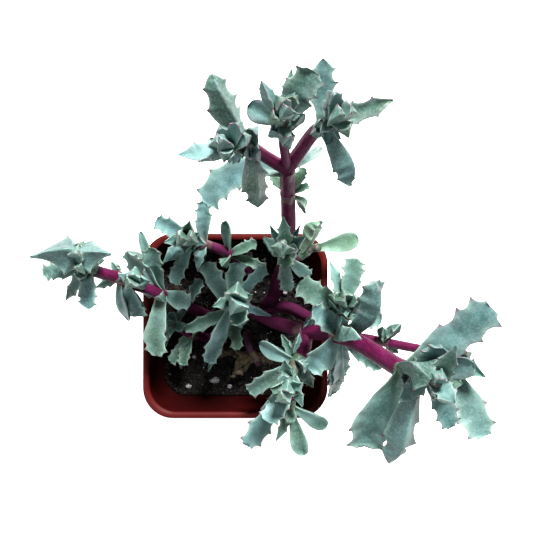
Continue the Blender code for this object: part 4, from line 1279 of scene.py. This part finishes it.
def leaf_material():
    """Waxy blue-green skin with a pale bloom and dark red teeth, paler margins that are partly a painted
    highlight, painted shade on the lower faces, and olive bases that are partly painted shade.
    """
    finish = Finish("leaf_wax")
    place = finish.place()
    tone, along, fresh, margin_and_highlight, tooth, painted_shade = (
        finish.mark(name) for name in ("tone", "along", "fresh", "margin_and_highlight", "tooth", "painted_shade")
    )
    patches = finish.mottle(place, 150, 4, low=0.36, high=0.68, roughness=0.5)
    shades = finish.mottle(place, 110, 3, low=0.44, high=0.74, roughness=0.5)
    specks = finish.mottle(place, 1900, 3, low=0.46, high=0.62)
    drift = finish.mottle(place, 75, 2, low=0.35, high=0.65)
    sunned = finish.times(finish.remap(finish.height(place), 0.078, 0.100), along)
    rose = finish.remap(finish.times(sunned, drift), 0.10, 0.60)
    edge = finish.add("Math", {0: margin_and_highlight, 1: 1.6}, operation="POWER")[0]
    colour = finish.layers(
        finish.mix(tone, LEAF_BLUE, LEAF_GREEN),
        (drift, 0.45, LEAF_GREEN),
        (shades, 0.50, LEAF_DEEP),
        (patches, finish.remap(tone, 0.1, 0.9, 0.72, 0.30), LEAF_BLOOM),
        # Painted shade on the leaves' lower faces, the collars and the cores.
        (painted_shade, 0.35, LEAF_DEEP),
        (fresh, 0.35, LEAF_FRESH),
        # Olive towards each leaf's base: partly its own colour, partly painted shade where the leaves
        # crowd.
        (finish.remap(along, 0.34, 0.02), 0.55, LEAF_BASE_OLIVE_AND_SHADE),
        (specks, 0.20, LEAF_SPECK),
        # Pale margins and keel ridge: partly the leaf's own colour, partly a painted highlight.
        (edge, 0.6, finish.mix(rose, LEAF_EDGE_AND_HIGHLIGHT, LEAF_ROSE)),
        (finish.remap(tooth, 0.38, 0.80), 0.9, LEAF_TOOTH),
    )
    pits, dents = finish.noise(place, 2600, 2), finish.noise(place, 420, 3)
    normal = finish.bump(pits, strength=0.24, distance=0.00014)
    return finish.shade({
        "Base Color": colour,
        "Roughness": finish.remap(patches, 0, 1, 0.44, 0.62),
        "Normal": finish.bump(dents, strength=0.34, distance=0.0006, normal=normal),
        "Specular IOR Level": 0.36,
        "Subsurface Weight": 0.06,
        "Subsurface Radius": (0.5, 0.9, 0.5),
        "Subsurface Scale": 0.0012,
    })


def stem_material(name, main, dark, light, film):
    """Smooth bark, whose streaks and fibres run along the stem and stand up a little."""
    finish = Finish(name)
    length = finish.times(finish.mark("grain_z"), 0.14)
    grain = {"X": finish.mark("grain_x"), "Y": finish.mark("grain_y"), "Z": length}
    bark = finish.group("bark", {
        "Place": finish.place(), "Grain": finish.add("CombineXYZ", grain)[0],
        "Main": main, "Dark": dark, "Light": light, "Film": film, "Aged": STEM_AGED,
    })
    normal = finish.bump(bark["Fibres"], strength=0.40, distance=0.00022)
    return finish.shade({
        "Base Color": bark["Colour"],
        "Roughness": finish.remap(bark["Streaks"], 0, 1, 0.52, 0.36),
        "Normal": finish.bump(bark["Streaks"], strength=0.34, distance=0.00035, normal=normal),
        "Specular IOR Level": 0.10,
    })


def pot_material():
    """Thin moulded plastic, satin, with fine scuffs and a slight moulding grain, soil-brown darkening low
    inside that is partly dust and partly painted shade, painted shade on the inside walls and a painted
    highlight on the lip.
    """
    finish = Finish("pot_moulded_plastic")
    place = finish.place()
    cloud = finish.remap(finish.mottle(place, 45, 4, low=0.30, high=0.70), 0, 1, 0.15, 0.75)
    drawn_out = finish.add("Mapping", {"Vector": place, "Scale": (900, 900, 60)})[0]
    scuffs = finish.mottle(drawn_out, 1.0, 4, low=0.56, high=0.74)
    low_inside = finish.remap(finish.height(place), 0.049, 0.036)
    # Soil-brown darkening low inside the pot: partly dust, partly painted shade.
    dust_and_shade = finish.times(low_inside, finish.mottle(place, 600, 4, low=0.42, high=0.62))
    colour = finish.layers(
        finish.mix(cloud, POT_RED, POT_RED_DARK),
        (scuffs, 0.16, POT_SCUFF),
        # Painted shade on the inside walls.
        (finish.mark("painted_shade"), 0.7, POT_INSIDE_SHADE),
        (dust_and_shade, 0.22, SOIL_BROWN),
        # A painted highlight on the rolled lip.
        (finish.mark("margin_and_highlight"), 0.5, POT_LIP_HIGHLIGHT),
    )
    return finish.shade({
        "Base Color": colour,
        "Roughness": finish.remap(cloud, 0, 1, 0.46, 0.60),
        "Normal": finish.bump(finish.noise(place, 2200, 2), strength=0.06, distance=0.0001),
        "Specular IOR Level": 0.09,
    })


def soil_material():
    """Dark peat with lighter and browner crumbs, blackened in the middle of the pot by painted shade under
    the plant.
    """
    finish = Finish("peat")
    place = finish.place()
    lumps = finish.mottle(place, 500, 5, low=0.35, high=0.68, roughness=0.65)
    grit = finish.mottle(place, 2400, 3, low=0.58, high=0.70)
    level = finish.add("VectorMath", {0: place, 1: (1.0, 1.0, 0.0)}, operation="MULTIPLY")[0]
    away = finish.add("VectorMath", {0: level}, operation="LENGTH")["Value"]
    colour = finish.layers(
        finish.mix(lumps, SOIL_BLACK, SOIL_BROWN),
        (finish.remap(finish.mark("tone"), 0.55, 1.0), 0.75, SOIL_BARK),
        (grit, 0.5, SOIL_PALE),
        # Painted shade: the soil is blacker in the middle of the pot, under the plant.
        (finish.remap(away, 0.022, 0.014), 0.65, SOIL_BLACK),
    )
    return finish.shade({
        "Base Color": colour,
        "Roughness": finish.remap(lumps, 0, 1, 0.95, 0.7),
        "Normal": finish.bump(lumps, strength=0.8, distance=0.0006),
        "Specular IOR Level": 0.12,
    })


def fibre_material():
    """Brown bark fibres with black blotches."""
    finish = Finish("bark_fibre")
    blotch = finish.mottle(finish.place(), 700, 3, low=0.35, high=0.65)
    return finish.shade({
        "Base Color": finish.mix(blotch, SOIL_BARK, SOIL_BLACK),
        "Roughness": finish.remap(blotch, 0, 1, 0.7, 0.95),
    })


def perlite_material():
    """Pitted white and grey grit."""
    finish = Finish("perlite")
    pores = finish.mottle(finish.place(), 1700, 4, low=0.35, high=0.6)
    return finish.shade({
        "Base Color": finish.mix(pores, PERLITE_GREY, PERLITE_WHITE),
        "Roughness": finish.remap(pores, 0, 1, 0.9, 0.7),
        "Normal": finish.bump(pores, strength=0.7, distance=0.0003),
    })


def withered_material():
    """Dry brown leaves, yellower in patches and brownest at their tips."""
    finish = Finish("withered_leaf_skin")
    place = finish.place()
    patches = finish.mottle(place, 320, 4, low=0.35, high=0.65)
    colour = finish.layers(
        finish.mix(patches, WITHERED_BROWN, WITHERED_YELLOW),
        (finish.remap(finish.mark("along"), 0.5, 1.0), 0.6, WITHERED_BROWN),
    )
    return finish.shade({
        "Base Color": colour,
        "Roughness": finish.remap(patches, 0, 1, 0.9, 0.65),
        "Normal": finish.bump(finish.noise(place, 900, 4), strength=0.8, distance=0.0005),
    })


def floor_material():
    """An even, almost white floor that shines a little, so that it stays pale in the render."""
    finish = Finish("pale_floor")
    cloud = finish.noise(finish.place(), 6, 3)
    return finish.shade({
        "Base Color": finish.mix(cloud, FLOOR_GREY, FLOOR_PALE),
        "Roughness": 0.9,
        "Specular IOR Level": 0.1,
        "Emission Color": FLOOR_GLOW,
        "Emission Strength": 0.75,
    })


def make_floor():
    mesh = bpy.data.meshes.new("floor")
    corners = [(x * FLOOR_REACH, y * FLOOR_REACH, 0) for x, y in ((-1, -1), (1, -1), (1, 1), (-1, 1))]
    mesh.from_pydata(corners, [], [(0, 1, 2, 3)])
    mesh.materials.append(floor_material())
    floor = put("floor", mesh)
    floor.location.z = -FLOOR_DROP


def soft_light(name, place, power, size, tint):
    """A square area light that faces the plant."""
    lamp = bpy.data.lights.new(name, "AREA")
    lamp.energy = power
    lamp.size = size
    lamp.color = tint
    obj = put(name, lamp)
    obj.location = place
    obj.rotation_euler = (Vector(LIT_POINT) - Vector(place)).to_track_quat("-Z", "Y").to_euler()


def make_light():
    """A faint sky and two soft lights: a key light from behind and a weak one in front."""
    world = bpy.data.worlds.new("studio")
    world.use_nodes = True
    background = {"Color": SKY_TINT, "Strength": SKY_STRENGTH}
    Nodes(world.node_tree).set(world.node_tree.nodes["Background"], background)
    bpy.context.scene.world = world
    soft_light("key_light", *KEY_LIGHT)
    soft_light("fill_light", *FILL_LIGHT)


def make_camera():
    """Straight above the pot and close to it, as in the photograph."""
    camera = bpy.data.cameras.new("camera")
    camera.sensor_width = CAMERA_SENSOR
    camera.lens = CAMERA_LENS
    camera.clip_start = CAMERA_NEAR
    obj = put("camera", camera)
    obj.location = CAMERA_PLACE
    bpy.context.scene.camera = obj


def main():
    make_mottling()
    make_bark()
    leaf = leaf_material()
    dry = withered_material()
    bark = stem_material("stem_bark", STEM_MAIN, STEM_DARK, STEM_LIGHT, STEM_FILM)
    old_bark = stem_material("old_stem_bark", OLD_MAIN, OLD_DARK, OLD_LIGHT, OLD_FILM)
    for number, (name, runs) in enumerate(STEMS.items()):
        skin = Skin()
        for i, run in enumerate(runs):
            add_stem(skin, run, 10 * number + i)
        piece = skin.build(name + "_dressed", old_bark if name == "old_stem" else bark)
        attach(piece, "root")
        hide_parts(name)
    for name, leaves in LEAVES.items():
        withered = name == "withered_leaves"
        piece = dress_cluster(name, leaves, dry if withered else leaf)
    make_pot(pot_material())
    peat = soil_material()
    make_soil(peat)
    make_loose_soil(peat, fibre_material(), perlite_material())
    make_floor()
    make_light()
    make_camera()
    view = bpy.context.scene.view_settings
    view.view_transform = "Standard"


main()
